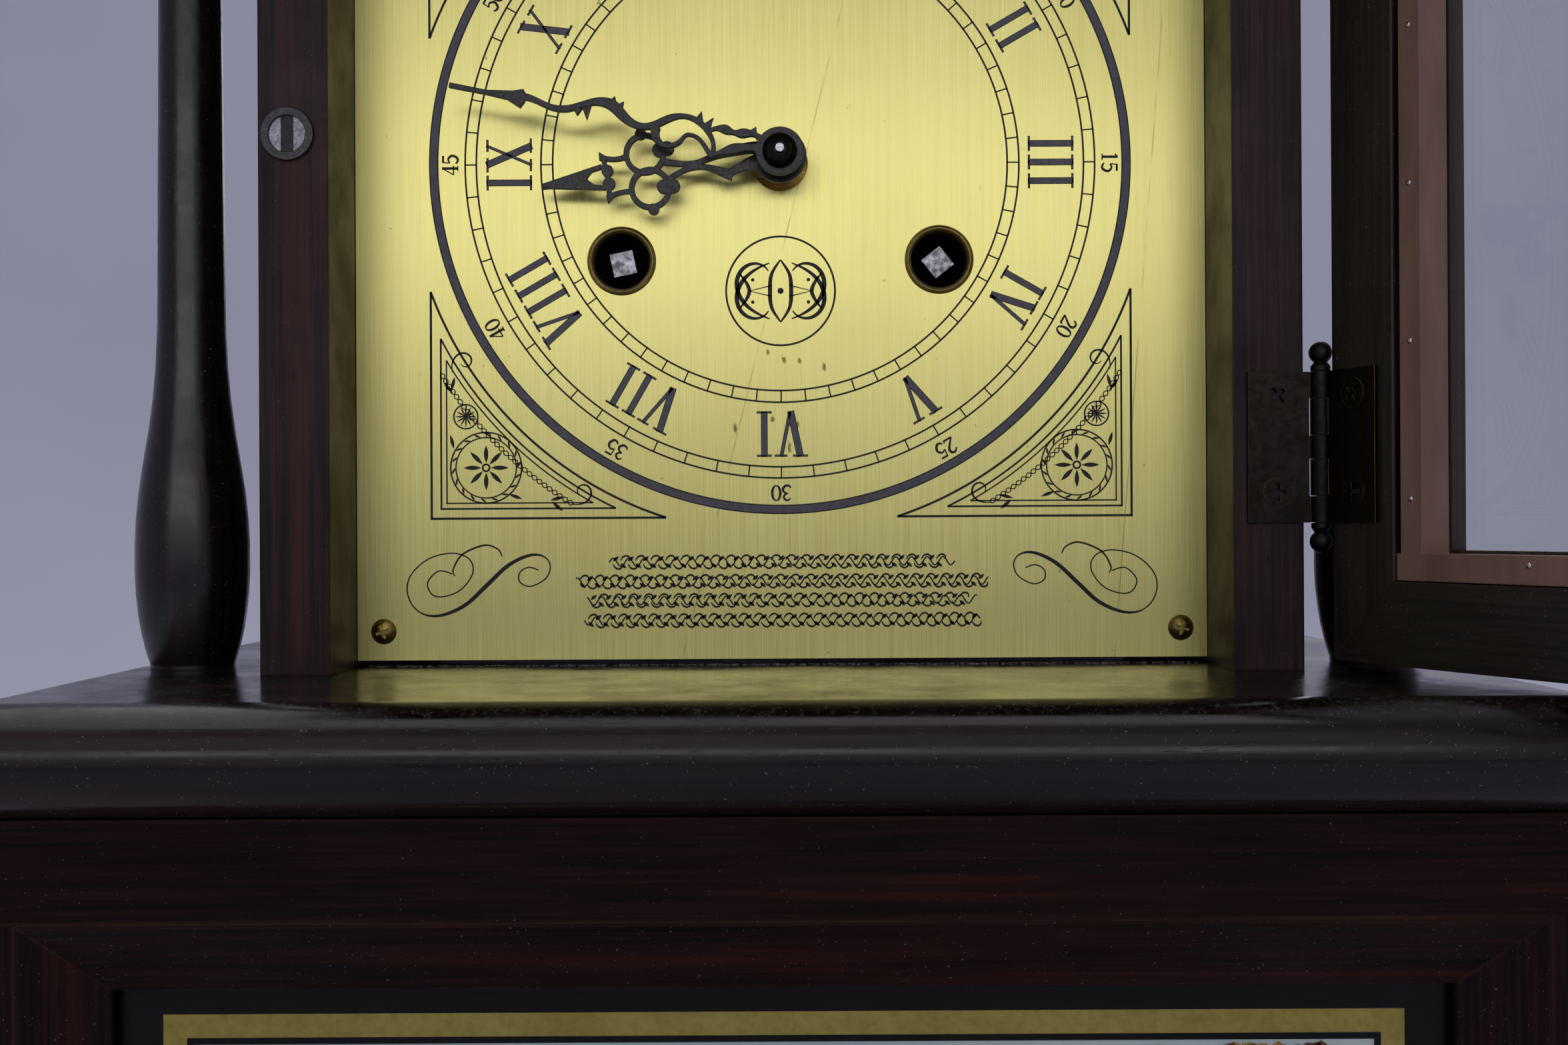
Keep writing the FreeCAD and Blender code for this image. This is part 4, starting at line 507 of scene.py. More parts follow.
class Drawing:
    """Flat shapes in millimetres: X to the right and Y up, gathered into one thin piece."""

    def __init__(self):
        self.points = []
        self.faces = []

    def polygon(self, corners):
        start = len(self.points)
        self.points += [tuple(corner[:2]) for corner in corners]
        self.faces.append(tuple(range(start, start + len(corners))))

    def strip(self, left, right):
        """Quads between two lines; lines that end where they start make a closed band."""
        pairs = list(zip(left, right))
        closed = math.dist(left[0], left[-1]) + math.dist(right[0], right[-1]) < CLOSED_GAP
        if closed:
            pairs.pop()
        start, count = len(self.points), len(pairs)
        for pair in pairs:
            self.points += [tuple(point[:2]) for point in pair]
        for at in range(count if closed else count - 1):
            first, second = start + 2 * at, start + 2 * ((at + 1) % count)
            self.faces.append((first, first + 1, second + 1, second))

    def stroke(self, line, width):
        """A line as a strip; width is one number or one for each point."""
        widths = width if isinstance(width, list) else [width] * len(line)
        left, right = [], []
        for at, (x, y) in enumerate(line):
            dx, dy, length = run_at(line, at)
            half = widths[at] / 2 / length
            left.append((x - dy * half, y + dx * half))
            right.append((x + dy * half, y - dx * half))
        self.strip(left, right)

    def swelling(self, line, thin, thick):
        """A stroke that is thin at its ends and thick in its middle."""
        self.stroke(line, swell(len(line), thin, thick))

    def ring(self, x, y, outer, inner, steps=96):
        self.strip(arc(x, y, outer, 0, 360, steps), arc(x, y, inner, 0, 360, steps))

    def disc(self, x, y, radius, steps=20):
        self.polygon(arc(x, y, radius, 0, 360 - 360 / steps, steps - 1))

    def moved(self, move):
        """The same shapes with every point passed through move(x, y)."""
        copy = Drawing()
        copy.points = [move(*point) for point in self.points]
        copy.faces = list(self.faces)
        return copy

    def take(self, other):
        start = len(self.points)
        self.points += other.points
        self.faces += [tuple(start + at for at in face) for face in other.faces]

    def piece(self, name, origin, depth, finish, slot, thickness=PRINT_HEIGHT):
        """A thin solid on a plane that faces the front, its face at Y = depth."""
        vertices = []
        for y in (depth + thickness, depth):
            vertices += [(origin.x + u * MM, y, origin.z + v * MM) for u, v in self.points]
        count = len(self.points)
        faces, sides = [], {}
        for face in self.faces:
            area = sum(self.points[face[at - 1]][0] * self.points[face[at]][1]
                       - self.points[face[at]][0] * self.points[face[at - 1]][1]
                       for at in range(len(face)))
            front = face if area > 0 else face[::-1]
            faces.append(tuple(count + at for at in front))
            faces.append(tuple(reversed(front)))
            for at, corner in enumerate(front):
                pair = (front[at - 1], corner)
                if (pair[1], pair[0]) in sides:
                    del sides[(pair[1], pair[0])]
                else:
                    sides[pair] = None
        for first, second in sides:
            faces.append((first, second, count + second, count + first))
        mesh = bpy.data.meshes.new(name)
        mesh.from_pydata(vertices, [], faces)
        mesh.validate()
        mesh.materials.append(finish)
        return add_piece(name, mesh, "case")


def add_piece(name, mesh, body):
    """Put a mesh in the scene as a named piece on a body."""
    obj = bpy.data.objects.new(name, mesh)
    bpy.context.scene.collection.objects.link(obj)
    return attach(obj, body)


# ---------------------------------------------------------------- dial printing

# radii and sizes in millimetres from the hands' centre
BAND = (63.0, 61.3)
MINUTE_TRACK = (56.5, 54.5)
HOUR_TRACK = (42.9, 40.8)
LINE = 0.32
HOUR_BASE, HOUR_HEIGHT = 44.5, 8.2
MINUTE_BASE, MINUTE_HEIGHT = 57.75, 2.9
OUTLINE = 0.22
FILL_FRONT = 0.07 * MM
FIGURE_ADVANCE = 0.66
CORD_RADIUS = 71.6
MEDALLION_DROP = 22.9
# height, half width and phase of each row of running scroll
VINES = ((-71.5, 31.0, 0.0), (-75.0, 37.0, 1.0), (-78.4, 35.0, 2.0), (-82.0, 35.5, 3.0))


def on_circle(base, clock_angle, scale=1.0):
    """A move that sets letters upright on a circle, their feet towards the centre."""
    angle = math.radians(clock_angle)
    sine, cosine = math.sin(angle), math.cos(angle)

    def move(x, y):
        out = base + y * scale
        side = x * scale
        return (sine * out + cosine * side, cosine * out - sine * side)
    return move


def bar(drawing, start, end, width, trim):
    """A straight stroke with square ends, drawn trim narrower and shorter all round."""
    dx, dy = end[0] - start[0], end[1] - start[1]
    length = math.hypot(dx, dy)
    ux, uy = dx / length * trim, dy / length * trim
    if width > 2 * trim and length > 2 * trim:
        drawing.stroke([(start[0] + ux, start[1] + uy), (end[0] - ux, end[1] - uy)],
                       width - 2 * trim)


THICK, THIN, SERIF = 1.2, 0.55, 0.42
GLYPH_WIDTH = {"I": 3.35, "V": 6.1, "X": 6.5}


def hour_letter(letter, trim):
    """A serif I, V or X, its foot at y = 0; trim draws the inner fill of the same shape."""
    letter_shape = Drawing()
    top = HOUR_HEIGHT
    foot, head = SERIF / 2, top - SERIF / 2
    if letter == "I":
        strokes = [((0, 0), (0, top), THICK)]
        serifs = [(0, foot, 2.7), (0, head, 2.7)]
    elif letter == "V":
        strokes = [((-1.75, top), (0.0, 0), THICK + 0.1), ((1.7, top), (0.05, 0), THIN + 0.15)]
        serifs = [(-1.75, head, 2.7), (1.75, head, 2.3)]
    else:
        strokes = [((-1.75, top), (1.75, 0), THICK + 0.1), ((1.75, top), (-1.75, 0), THIN)]
        serifs = [(-1.75, head, 2.6), (1.75, head, 2.2), (-1.75, foot, 2.2), (1.75, foot, 2.6)]
    for start, end, width in strokes:
        bar(letter_shape, start, end, width, trim)
    for x, y, width in serifs:
        bar(letter_shape, (x - width / 2, y), (x + width / 2, y), SERIF, trim)
    return letter_shape


def numeral(text, clock_angle, trim):
    """A Roman hour numeral at its place on the circle."""
    word = Drawing()
    x = -sum(GLYPH_WIDTH[letter] for letter in text) / 2
    for letter in text:
        half = GLYPH_WIDTH[letter] / 2
        shape = hour_letter(letter, trim)
        word.take(shape.moved(lambda u, v, at=x + half: (u + at, v)))
        x += 2 * half
    return word.moved(on_circle(HOUR_BASE, clock_angle))


def digit(figure):
    """A small book-face figure of height 1 on y = 0, as strokes with swelling widths."""
    thin, thick = 0.075, 0.16
    shape = Drawing()
    if figure == "0":
        oval = [(0.25 * math.cos(t), 0.5 + 0.46 * math.sin(t))
                for t in (2 * math.pi * at / 24 for at in range(25))]
        shape.stroke(oval, [thin + (thick - thin) * abs(math.cos(2 * math.pi * at / 24))
                            for at in range(25)])
    elif figure == "1":
        shape.stroke([(0.02, 0.0), (0.02, 1.0)], thick)
        shape.stroke([(-0.17, 0.84), (0.04, 0.97)], thin)
        shape.stroke([(-0.18, 0.03), (0.22, 0.03)], thin)
    elif figure == "2":
        line = smooth([(-0.24, 0.74), (-0.08, 0.95), (0.16, 0.9), (0.2, 0.66), (-0.02, 0.34),
                       (-0.26, 0.06)], 5)
        shape.swelling(line, thin, thick)
        shape.stroke([(-0.27, 0.06), (0.27, 0.06)], thick * 0.8)
        shape.stroke([(0.27, 0.02), (0.29, 0.2)], thin)
    elif figure == "3":
        upper = smooth([(-0.22, 0.82), (-0.02, 0.96), (0.19, 0.8), (0.12, 0.6), (-0.06, 0.53)], 5)
        lower = smooth([(-0.06, 0.53), (0.17, 0.45), (0.25, 0.25), (0.08, 0.05), (-0.14, 0.06),
                        (-0.25, 0.18)], 5)
        shape.swelling(upper, thin, thick * 0.85)
        shape.swelling(lower, thin, thick)
    elif figure == "4":
        shape.stroke([(0.12, 1.0), (0.12, 0.0)], thick)
        shape.stroke([(0.12, 0.98), (-0.27, 0.3)], thin)
        shape.stroke([(-0.29, 0.29), (0.29, 0.29)], thin * 1.1)
        shape.stroke([(-0.04, 0.03), (0.28, 0.03)], thin)
    elif figure == "5":
        shape.stroke([(-0.18, 0.94), (0.24, 0.94)], thick * 0.8)
        shape.stroke([(-0.17, 0.97), (-0.2, 0.52)], thin)
        bowl = smooth([(-0.2, 0.52), (0.04, 0.62), (0.25, 0.38), (0.1, 0.06), (-0.13, 0.05),
                       (-0.25, 0.17)], 5)
        shape.swelling(bowl, thin, thick)
    return shape


def minute_figures(number, clock_angle):
    """A five-minute numeral at its place on the circle."""
    word = Drawing()
    text = str(number)
    for at, figure in enumerate(text):
        offset = (at - (len(text) - 1) / 2) * FIGURE_ADVANCE
        word.take(digit(figure).moved(lambda u, v, by=offset: (u + by, v)))
    return word.moved(on_circle(MINUTE_BASE, clock_angle, MINUTE_HEIGHT))


def rope(drawing, line, amplitude, turns, width):
    """Two strands wound round each other along a line."""
    for side in (1, -1):
        strand = []
        for at, (x, y) in enumerate(line):
            dx, dy, length = run_at(line, at)
            sway = side * amplitude * math.sin(math.pi * turns * at / (len(line) - 1))
            strand.append((x - dy / length * sway, y + dx / length * sway))
        drawing.stroke(strand, width)


def leaf(drawing, x, y, length, width, heading):
    """A pointed leaf that starts at a point and runs along a heading in degrees."""
    angle = math.radians(heading)
    spine = [(x + length * at / 8 * math.cos(angle), y + length * at / 8 * math.sin(angle))
             for at in range(9)]
    drawing.swelling(spine, 0.04, width)


def curl(x, y, heading, length, start_bend, end_bend, steps=40):
    """A line whose bend changes evenly along it, in degrees per millimetre: a scroll."""
    line, angle = [(x, y)], math.radians(heading)
    step_length = length / steps
    for step in range(steps):
        bend = start_bend + (end_bend - start_bend) * step / steps
        angle += math.radians(bend) * step_length
        x += math.cos(angle) * step_length
        y += math.sin(angle) * step_length
        line.append((x, y))
    return line


SPANDREL_X, SPANDREL_Y, SPANDREL_ARC = 62.8, 63.5, 66.8


def spandrel_border(drawing, inset, width):
    """A corner's outline: two legs and an arc round the dial's centre, all inset alike."""
    x, y, radius = -SPANDREL_X + inset, -SPANDREL_Y + inset, SPANDREL_ARC + inset
    tip_up = -math.sqrt(radius ** 2 - x ** 2)
    tip_right = -math.sqrt(radius ** 2 - y ** 2)
    start = math.degrees(math.atan2(tip_up, x)) % 360
    end = math.degrees(math.atan2(y, tip_right)) % 360
    drawing.stroke(arc(0, 0, radius, start, end, 40), width)
    drawing.stroke([(tip_right, y), (x - width / 2, y)], width)
    drawing.stroke([(x, y - width / 2), (x, tip_up)], width)


def spandrel():
    """A lower left corner ornament: a wreath, a rosette, leaves and a cord along the arc."""
    corner = Drawing()
    spandrel_border(corner, 0.0, 0.42)
    spandrel_border(corner, 1.75, 0.34)
    spandrel_border(corner, 2.75, 0.26)
    wreath_x, wreath_y, inner_ring = -53.0, -54.4, 5.55
    corner.ring(wreath_x, wreath_y, 6.5, 6.22, 60)
    corner.ring(wreath_x, wreath_y, inner_ring, 5.3, 60)
    for at in range(18):
        angle = math.radians(20 * at)
        leaf(corner, wreath_x + inner_ring * math.cos(angle),
             wreath_y + inner_ring * math.sin(angle), 1.25, 0.38, 20 * at + 62)
    for at in range(8):
        angle = math.radians(45 * at)
        leaf(corner, wreath_x + 0.9 * math.cos(angle), wreath_y + 0.9 * math.sin(angle), 3.1,
             0.8, 45 * at)
    corner.ring(wreath_x, wreath_y, 0.8, 0.45, 24)
    bud_x, bud_y = -56.6, -45.2
    corner.ring(bud_x, bud_y, 2.3, 2.02, 40)
    for at in range(12):
        leaf(corner, bud_x, bud_y, 1.9, 0.3, 30 * at)
    rope(corner, arc(0, 0, CORD_RADIUS, 211.5, 238.5, 150), 0.42, 30, 0.2)
    for start, heading, bend in (((-59.0, -37.2), 100, -9), ((-37.6, -61.0), -10, 9)):
        stem = curl(*start, heading, 9.5, bend, bend * 7)
        corner.swelling(stem, 0.14, 0.36)
    for x, y, heading in ((-59.2, -40.5, 75), (-58.9, -41.0, 130), (-41.5, -60.3, 15),
                          (-41.2, -60.6, -40), (-46.6, -60.0, 160), (-59.4, -48.5, 285)):
        leaf(corner, x, y, 2.5, 0.62, heading)
    return corner


def medallion():
    """A plain ring round a symmetrical knot of scrolls."""
    knot = Drawing()
    knot.ring(0, 0, 9.95, 9.6, 90)
    half = Drawing()
    lens = smooth([(0.0, 5.6), (1.6, 3.0), (1.9, 0.0), (1.6, -3.0), (0.0, -5.6)], 8)
    half.swelling(lens, 0.25, 0.75)
    outer = curl(2.0, 5.0, -20, 17.5, -2.2, -23)
    half.swelling(outer, 0.22, 0.8)
    lower = curl(2.0, -5.0, 20, 17.5, 2.2, 23)
    half.swelling(lower, 0.22, 0.8)
    side = smooth([(7.4, 3.2), (6.2, 1.6), (5.6, 0.0), (6.2, -1.6), (7.4, -3.2)], 8)
    half.swelling(side, 0.2, 0.7)
    half.stroke([(1.5, 1.0), (5.6, 0.0), (1.5, -1.0)], [0.22, 0.5, 0.22])
    half.disc(5.0, 2.0, 0.32, 12)
    half.disc(5.0, -2.0, 0.32, 12)
    knot.take(half)
    knot.take(half.moved(lambda x, y: (-x, y)))
    knot.disc(0, 0, 0.55, 16)
    return knot.moved(lambda x, y: (x, y - MEDALLION_DROP))


def flourish():
    """A loose pen scroll at the lower left: a large open spiral that swings into a small one."""
    pen = Drawing()
    sweep = smooth([(-59.2, -73.4), (-61.6, -72.9), (-63.6, -74.9), (-62.9, -77.0), (-60.9, -77.5),
                    (-57.7, -76.3), (-55.5, -73.3), (-56.1, -70.8), (-59.0, -69.7), (-63.2, -70.6),
                    (-66.4, -73.3), (-67.3, -76.3), (-66.2, -79.2), (-63.8, -80.8), (-60.6, -80.7),
                    (-56.7, -78.9), (-53.1, -75.6), (-49.2, -72.0), (-45.5, -70.2), (-42.9, -70.3),
                    (-41.6, -71.9), (-42.3, -74.2), (-45.0, -75.7), (-47.0, -75.0), (-47.1, -73.3),
                    (-45.5, -72.3), (-43.7, -72.8)], 6)
    weights = [0.24 + 0.5 * max(0.0, math.sin(math.pi * (at / len(sweep) - 0.48) / 0.26))
               if 0.48 < at / len(sweep) < 0.74 else 0.24 for at in range(len(sweep))]
    pen.stroke(sweep, weights)
    branch = smooth([(-58.7, -73.8), (-59.0, -72.6), (-57.3, -69.9), (-53.4, -68.3),
                     (-51.0, -69.0), (-50.2, -70.3)], 6)
    pen.swelling(branch, 0.2, 0.34)
    return pen


def vine(half_width, y, phase):
    """A row of running scroll: a waving stem with a leaf and a tendril at each turn."""
    row = Drawing()
    period, height = 2.7, 0.75
    turns = int(2 * half_width / period)
    points = 14 * turns
    stem = [(-half_width + 2 * half_width * at / points,
             y + height * math.sin(phase + 2 * math.pi * turns * at / points))
            for at in range(points + 1)]
    row.stroke(stem, 0.26)
    for at in range(2 * turns):
        x = -half_width + (at + 0.5) * period / 2
        side = 1 if (at + int(phase)) % 2 else -1
        tendril = curl(x, y + side * 0.3, 70 * side, 2.7, -side * 20, -side * 125, 14)
        row.swelling(tendril, 0.16, 0.36)
        leaf(row, x, y - side * 0.2, 1.35, 0.6, -side * 40)
    return row


def dial_printing():
    """Everything printed on the dial, as black outlines with grey fill on top."""
    lines, fill = Drawing(), Drawing()
    lines.ring(0, 0, *BAND, 240)
    fill.ring(0, 0, BAND[0] - OUTLINE, BAND[1] + OUTLINE, 240)
    for radii in (MINUTE_TRACK, HOUR_TRACK):
        for radius in radii:
            lines.ring(0, 0, radius + LINE / 2, radius - LINE / 2, 200)
        for minute in range(60):
            tick = Drawing()
            tick.stroke([(0, 0), (0, radii[0] - radii[1])], 0.25)
            lines.take(tick.moved(on_circle(radii[1], 6 * minute)))
    hours = "I II III IV V VI VII VIII IX X XI XII".split()
    for hour, text in enumerate(hours, start=1):
        lines.take(numeral(text, 30 * hour, 0.0))
        fill.take(numeral(text, 30 * hour, OUTLINE / 2))
        lines.take(minute_figures(5 * hour, 30 * hour))
    corner = spandrel()
    for x_sign in (1, -1):
        for y_sign in (1, -1):
            lines.take(corner.moved(lambda x, y, a=x_sign, b=y_sign: (a * x, b * y)))
    scroll = flourish()
    lines.take(scroll)
    lines.take(scroll.moved(lambda x, y: (-x, y)))
    lines.take(medallion())
    for y, half_width, phase in VINES:
        lines.take(vine(half_width, y, phase))
    lines.piece("dial_lines", HUB, DIAL_FRONT - PRINT_HEIGHT, ink("ink_black", "1c1a1c", "2a272b"),
                "dial_brass")
    fill.piece("dial_fill", HUB, DIAL_FRONT - FILL_FRONT, ink("ink_grey", "58565a", "626066"),
               "dial_brass", FILL_HEIGHT)


dial_printing()


# ---------------------------------------------------------------- panel printing

PANEL = middle("picture_panel")
PANEL_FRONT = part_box("picture_panel")[0].y
# half sizes and widths in millimetres
BOARD_HALF, GOLD_HALF = (105.8, 76.8), (91.9, 62.75)
GOLD_WIDTH, GOLD_LINE = 3.5, 1.0
TREE_LEAVES, GROUND_LEAVES, LEAF_MARGIN = 150, 60, 1.6
LEAF_TONES = (("8a4a22", "a9602c"), ("b9772f", "cf9444"), ("6f3b1f", "7f5a26"),
              ("c9a24c", "b98a3a"))


def between(inner, outer):
    """A rectangular frame from its inner and outer half sizes."""
    band = Drawing()
    band.strip(*([(-x, -y), (x, -y), (x, y), (-x, y), (-x, -y)] for x, y in (inner, outer)))
    return band


def surround(outer, width):
    """A rectangular frame from its outer half sizes and its width."""
    return between((outer[0] - width, outer[1] - width), outer)


def skyline(knots, foot):
    """Ground below a smooth line."""
    land = Drawing()
    line = smooth(knots, 10)
    land.strip(line, [(x, foot) for x, _ in line])
    return land


def blob(drawing, rng, x, y, radius):
    """A small rough patch."""
    count = rng.randint(6, 9)
    drawing.polygon([(x + radius * rng.uniform(0.6, 1.1) * math.cos(2 * math.pi * at / count),
                      y + radius * rng.uniform(0.6, 1.1) * math.sin(2 * math.pi * at / count))
                     for at in range(count)])


def panel_printing():
    """The printed board: a plain autumn landscape inside a black and gold border."""
    rng = random.Random(7)
    half = tuple(size - GOLD_WIDTH - GOLD_LINE for size in GOLD_HALF)
    depth = PANEL_FRONT - PRINT_HEIGHT

    def layer(name, drawing, step, finish):
        drawing.piece(name, PANEL, depth - step * PRINT_HEIGHT, finish, "printed_board",
                      FILL_HEIGHT)

    far = skyline([(-half[0], -4), (-60, 6), (-32, 1), (-8, 9), (22, 3), (48, 10), (74, 4),
                   (half[0], 8)], -half[1])
    layer("print_hills", far, 0, ink("print_hills", "8da0a6", "a3b1ab"))
    near = skyline([(-half[0], -12), (-50, -6), (-20, -14), (15, -9), (50, -15), (half[0], -8)],
                   -half[1])
    layer("print_meadow", near, 1, ink("print_meadow", "7d7f4c", "9a8f55"))
    path = Drawing()
    lane = smooth([(-6, -12), (2, -20), (-8, -32), (6, -44), (-4, -half[1])], 10)
    path.stroke(lane, [1.5 + 12 * at / (len(lane) - 1) for at in range(len(lane))])
    layer("print_lane", path, 2, ink("print_lane", "b9a27c", "a48b62"))
    trunks = Drawing()
    for side in (-1, 1):
        trunk = smooth([(side * 74, -half[1]), (side * 72, -20), (side * 75, 12),
                        (side * 70, 40)], 10)
        trunks.stroke(trunk, [7.0 - 4.5 * at / (len(trunk) - 1) for at in range(len(trunk))])
        for start, end in (((73, 5), (52, 30)), ((74, 20), (60, 48)), ((73, -2), (84, 18))):
            branch = smooth([(side * start[0], start[1]),
                             (side * (start[0] + end[0]) / 2, (start[1] + end[1]) / 2 + 2),
                             (side * end[0], end[1])], 6)
            trunks.stroke(branch, [2.2 - 1.5 * at / (len(branch) - 1)
                                   for at in range(len(branch))])
    layer("print_trunks", trunks, 3, ink("print_trunks", "3b2a20", "54402f"))
    for number, tone in enumerate(LEAF_TONES):
        leaves = Drawing()
        for side in (-1, 1):
            for _ in range(TREE_LEAVES):
                spread = abs(rng.gauss(0, 13))
                x = side * min(half[0] - LEAF_MARGIN, 80 - spread)
                y = min(half[1] - LEAF_MARGIN, rng.gauss(42 - 0.35 * spread, 11))
                blob(leaves, rng, x, y, rng.uniform(0.7, 1.5))
        for _ in range(GROUND_LEAVES):
            blob(leaves, rng, rng.uniform(-half[0] + 2, half[0] - 2), rng.gauss(-10, 2.5),
                 rng.uniform(0.6, 1.6))
        layer(f"print_leaves_{number}", leaves, 3.5 + 0.25 * number,
              ink(f"print_leaves_{number}", *tone))
    gold = metal("gold_print", "b8a052", "8d7734", 0.36, (700, 700, 700), 0.4, radius=0.00005)
    black = ink("border_black", "030303", "070606", shine=0.08)
    edge = between(GOLD_HALF, BOARD_HALF)
    edge.take(surround((half[0] + GOLD_LINE, half[1] + GOLD_LINE), GOLD_LINE))
    layer("print_border", edge, 5, black)
    layer("print_gold", surround(GOLD_HALF, GOLD_WIDTH), 5, gold)


panel_printing()


# ---------------------------------------------------------------- brads and lint

BRAD_RADIUS, BRAD_HEIGHT, BRAD_SINK = 0.5 * MM, 0.22 * MM, 0.4 * MM
BRADS_UP, BRADS_ACROSS = 6, 5
BRAD_SPACING, FIRST_BRAD_UP, BRAD_INSET = 25, 13, 2.9  # millimetres
BEHIND_BEADS = -0.01
LINT_PIECES, LINT_REACH = 620, 74


def domes(spots, radius, height, sink, steps=12):
    """Round heads at points with normals, each a closed solid sunk a little way in."""
    vertices, faces = [], []
    # share of the radius, and height
    profile = ((1.0, -sink), (1.0, 0.0), (0.8, 0.55 * height), (0.45, 0.9 * height))
    for centre, normal in spots:
        turn = Vector(normal).to_track_quat("Z", "X").to_matrix()
        start = len(vertices)
        for share, lift in profile:
            for at in range(steps):
                angle = 2 * math.pi * at / steps
                vertices.append(centre + turn @ Vector((radius * share * math.cos(angle),
                                                        radius * share * math.sin(angle), lift)))
        vertices.append(centre + turn @ Vector((0, 0, height)))
        faces.append(tuple(start + at for at in reversed(range(steps))))
        for ring in range(len(profile) - 1):
            for at in range(steps):
                low_corner, after = start + ring * steps, (at + 1) % steps
                faces.append((low_corner + at, low_corner + after,
                              low_corner + steps + after, low_corner + steps + at))
        last = start + (len(profile) - 1) * steps
        faces += [(last + at, last + (at + 1) % steps, len(vertices) - 1) for at in range(steps)]
    mesh = bpy.data.meshes.new("domes")
    mesh.from_pydata([tuple(vertex) for vertex in vertices], [], faces)
    for face in mesh.polygons:
        face.use_smooth = True
    return mesh


def bead_brads():
    """Small round brads along the beads that hold the door's glass."""
    beads = frame["nodes"]["glass_beads"]
    bead_low, bead_high = shut_box("glass_beads")
    inward = OPENED.to_3x3() @ Vector((0, -1, 0))
    inset = BRAD_INSET * MM
    places = []
    for z in range(BRADS_UP):
        height = bead_low.z + FIRST_BRAD_UP * MM + z * BRAD_SPACING * MM
        places += [(bead_high.x - inset, height), (bead_low.x + inset, height)]
    for x in range(BRADS_ACROSS):
        along = bead_low.x + BRAD_SPACING * MM + x * BRAD_SPACING * MM
        places += [(along, bead_low.z + inset), (along, bead_high.z - inset)]
    spots = []
    for x, z in places:
        hit, spot, normal, _ = beads.ray_cast(OPENED @ Vector((x, BEHIND_BEADS, z)), inward)
        if hit:
            spots.append((spot, normal))
    mesh = domes(spots, BRAD_RADIUS, BRAD_HEIGHT, BRAD_SINK)
    mesh.materials.append(metal("brad_steel", "d6d3cc", "8f8a80", 0.2, radius=0.00002))
    add_piece("bead_brads", mesh, "front_door")


def ledge_lint():
    """Short fibres and crumbs of dust caught along the dial's foot."""
    rng = random.Random(31)
    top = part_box("ledge_board")[1].z
    vertices, faces = [], []
    for _ in range(LINT_PIECES):
        x = rng.uniform(-LINT_REACH, LINT_REACH)
        y = 1000 * DIAL_FRONT - 0.15 - abs(rng.gauss(0, 0.55))
        length, width = rng.uniform(0.1, 0.75), rng.uniform(0.05, 0.13)
        angle, lift = rng.uniform(0, math.pi), rng.uniform(0.03, 0.2)
        ux, uy = math.cos(angle), math.sin(angle)
        corners = [(x + ux * a * length / 2 - uy * b * width / 2,
                    y + uy * a * length / 2 + ux * b * width / 2)
                   for a, b in ((-1, -1), (1, -1), (1, 1), (-1, 1))]
        start = len(vertices)
        for height in (lift - 0.03, lift + 0.03):
            vertices += [(u * MM, v * MM, top + height * MM) for u, v in corners]
        faces += [tuple(start + at for at in face)
                  for face in ((3, 2, 1, 0), (4, 5, 6, 7), (0, 1, 5, 4), (1, 2, 6, 5),
                               (2, 3, 7, 6), (3, 0, 4, 7))]
    mesh = bpy.data.meshes.new("ledge_lint")
    mesh.from_pydata(vertices, [], faces)
    mesh.materials.append(paint("lint", "b9b5ab", "8f8b84", 0.8, (3000, 3000, 3000), 0.0))
    add_piece("ledge_lint", mesh, "case")


bead_brads()
ledge_lint()


# ---------------------------------------------------------------- studio

FLOOR_RADIUS, CURVE, WALL_RADIUS, WALL_TOP = 1.7, 0.6, 2.3, 1.5
SWEEP_SIDES = 96


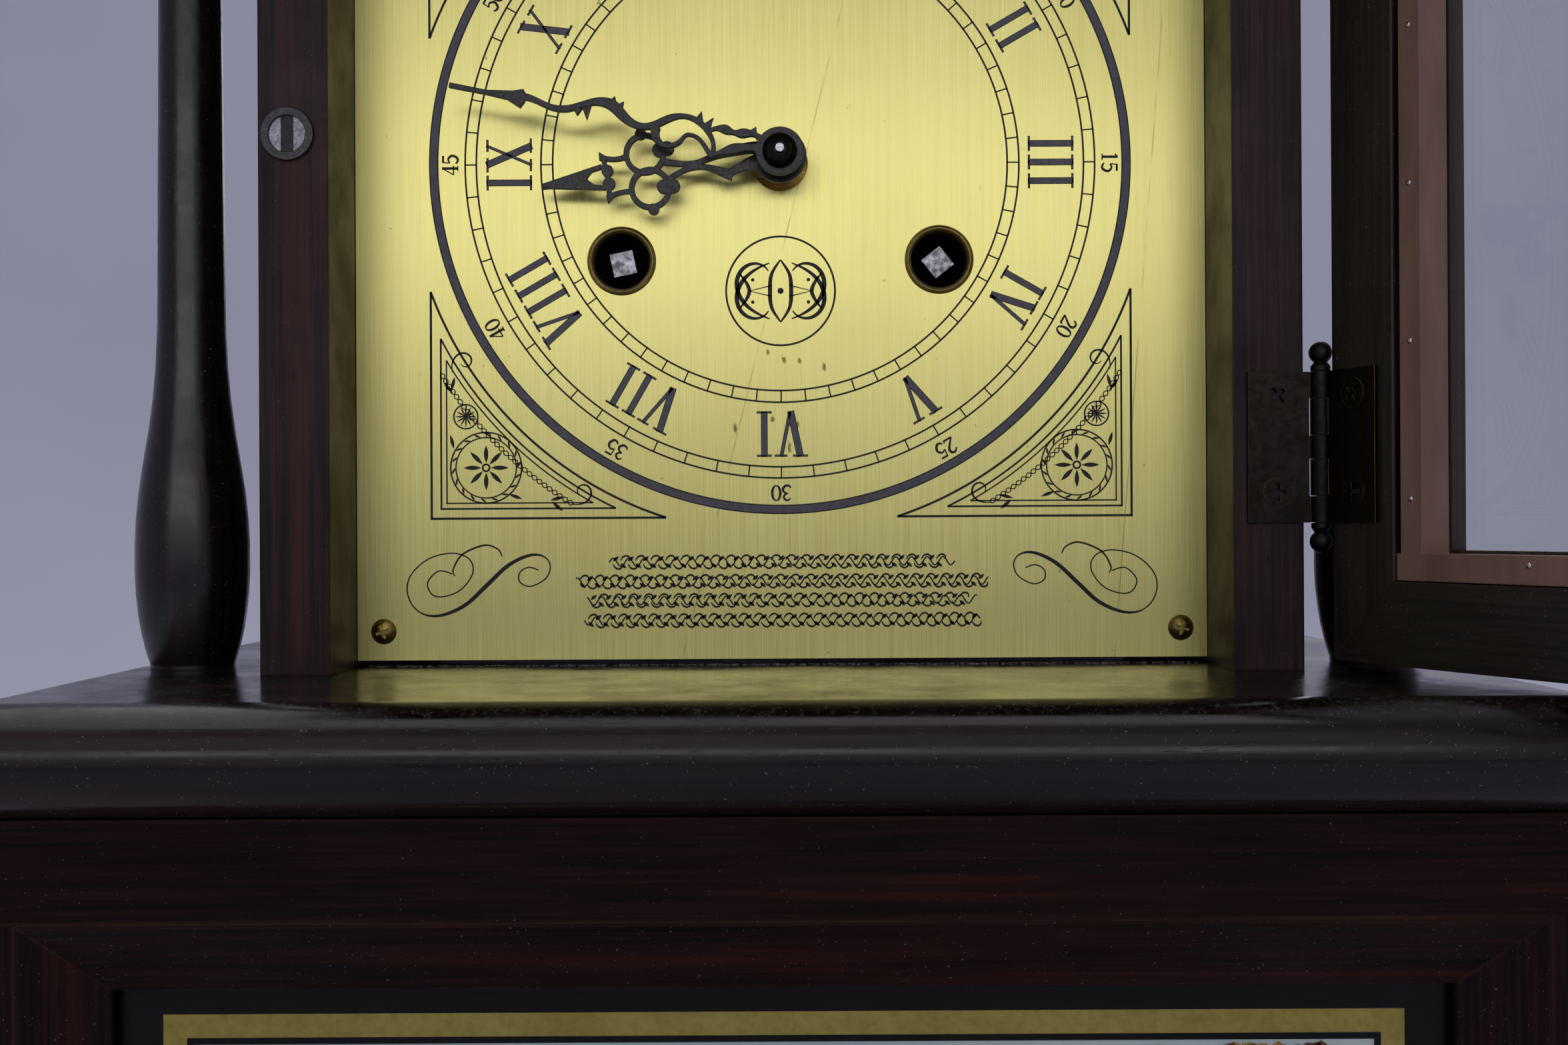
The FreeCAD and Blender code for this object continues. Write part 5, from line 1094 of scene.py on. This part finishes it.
def studio_sweep():
    """A pale floor that curves up into a wall on every side."""
    profile = [(FLOOR_RADIUS, 0.0)]
    profile += [(FLOOR_RADIUS + CURVE * math.sin(a), CURVE - CURVE * math.cos(a))
                for a in (math.radians(7.5 * step) for step in range(1, 13))]
    profile.append((WALL_RADIUS, WALL_TOP))
    around = SWEEP_SIDES
    vertices = [(radius * math.cos(2 * math.pi * at / around),
                 radius * math.sin(2 * math.pi * at / around), height)
                for radius, height in profile for at in range(around)]
    faces = [tuple(range(around))]
    for row in range(len(profile) - 1):
        for at in range(around):
            after = (at + 1) % around
            faces.append(((row + 1) * around + at, (row + 1) * around + after,
                          row * around + after, row * around + at))
    mesh = bpy.data.meshes.new("studio_sweep")
    mesh.from_pydata(vertices, [], faces)
    for face in mesh.polygons:
        face.use_smooth = True
    mesh.materials.append(paint("sweep_paint", "bbbcca", "c3c3d0", 0.7, (0.8, 0.8, 0.8), 0.0))
    sweep = bpy.data.objects.new("studio_sweep", mesh)
    bpy.context.scene.collection.objects.link(sweep)


def lamp(name, place, target, size, power, tint=(1.0, 1.0, 1.0)):
    """A soft rectangular light that faces a point."""
    data = bpy.data.lights.new(name, "AREA")
    data.shape = "RECTANGLE"
    data.size, data.size_y = size
    data.energy = power
    data.color = tint
    obj = bpy.data.objects.new(name, data)
    obj.location = place
    obj.rotation_euler = (Vector(target) - Vector(place)).to_track_quat("-Z", "Y").to_euler()
    obj.visible_camera = False
    obj.visible_transmission = False
    bpy.context.scene.collection.objects.link(obj)


def camera():
    """The viewer close in front of the dial, a little above its lower edge."""
    data = bpy.data.cameras.new("view")
    data.lens = 37.1
    data.sensor_width = 36.0
    data.clip_start = 0.01
    obj = bpy.data.objects.new("view", data)
    obj.location = (0.0004, -0.300, 0.2500)
    tilt = Matrix.Rotation(math.radians(90.1), 4, "X")
    roll = Matrix.Rotation(math.radians(-0.3), 4, "Z")
    obj.rotation_euler = (tilt @ roll).to_euler()
    bpy.context.scene.collection.objects.link(obj)
    bpy.context.scene.camera = obj


def world():
    """Even light from all round, and plain display colours."""
    shade = bpy.data.worlds.new("studio_world")
    shade.use_nodes = True
    background = shade.node_tree.nodes["Background"]
    background.inputs["Color"].default_value = colour("c6c6d4")
    background.inputs["Strength"].default_value = 0.6
    bpy.context.scene.world = shade
    bpy.context.scene.view_settings.view_transform = "Standard"


studio_sweep()
lamp("soft_front", place=(0.0, -1.30, 0.78), target=(0.0, 0.0, 0.27), size=(1.9, 1.2), power=2.6)
lamp("key", place=(-0.08, -1.1, 0.53), target=(0.0, 0.0, 0.28), size=(1.2, 0.16), power=1.15)
lamp("soft_back", place=(0.3, 1.55, 1.0), target=(0.0, 0.0, 0.22), size=(1.6, 0.9), power=5.0)
lamp("overhead", place=(0.0, 0.35, 1.7), target=(0.0, 0.35, 0.0), size=(2.0, 2.0), power=15.0,
     tint=(0.97, 0.97, 1.0))
camera()
world()
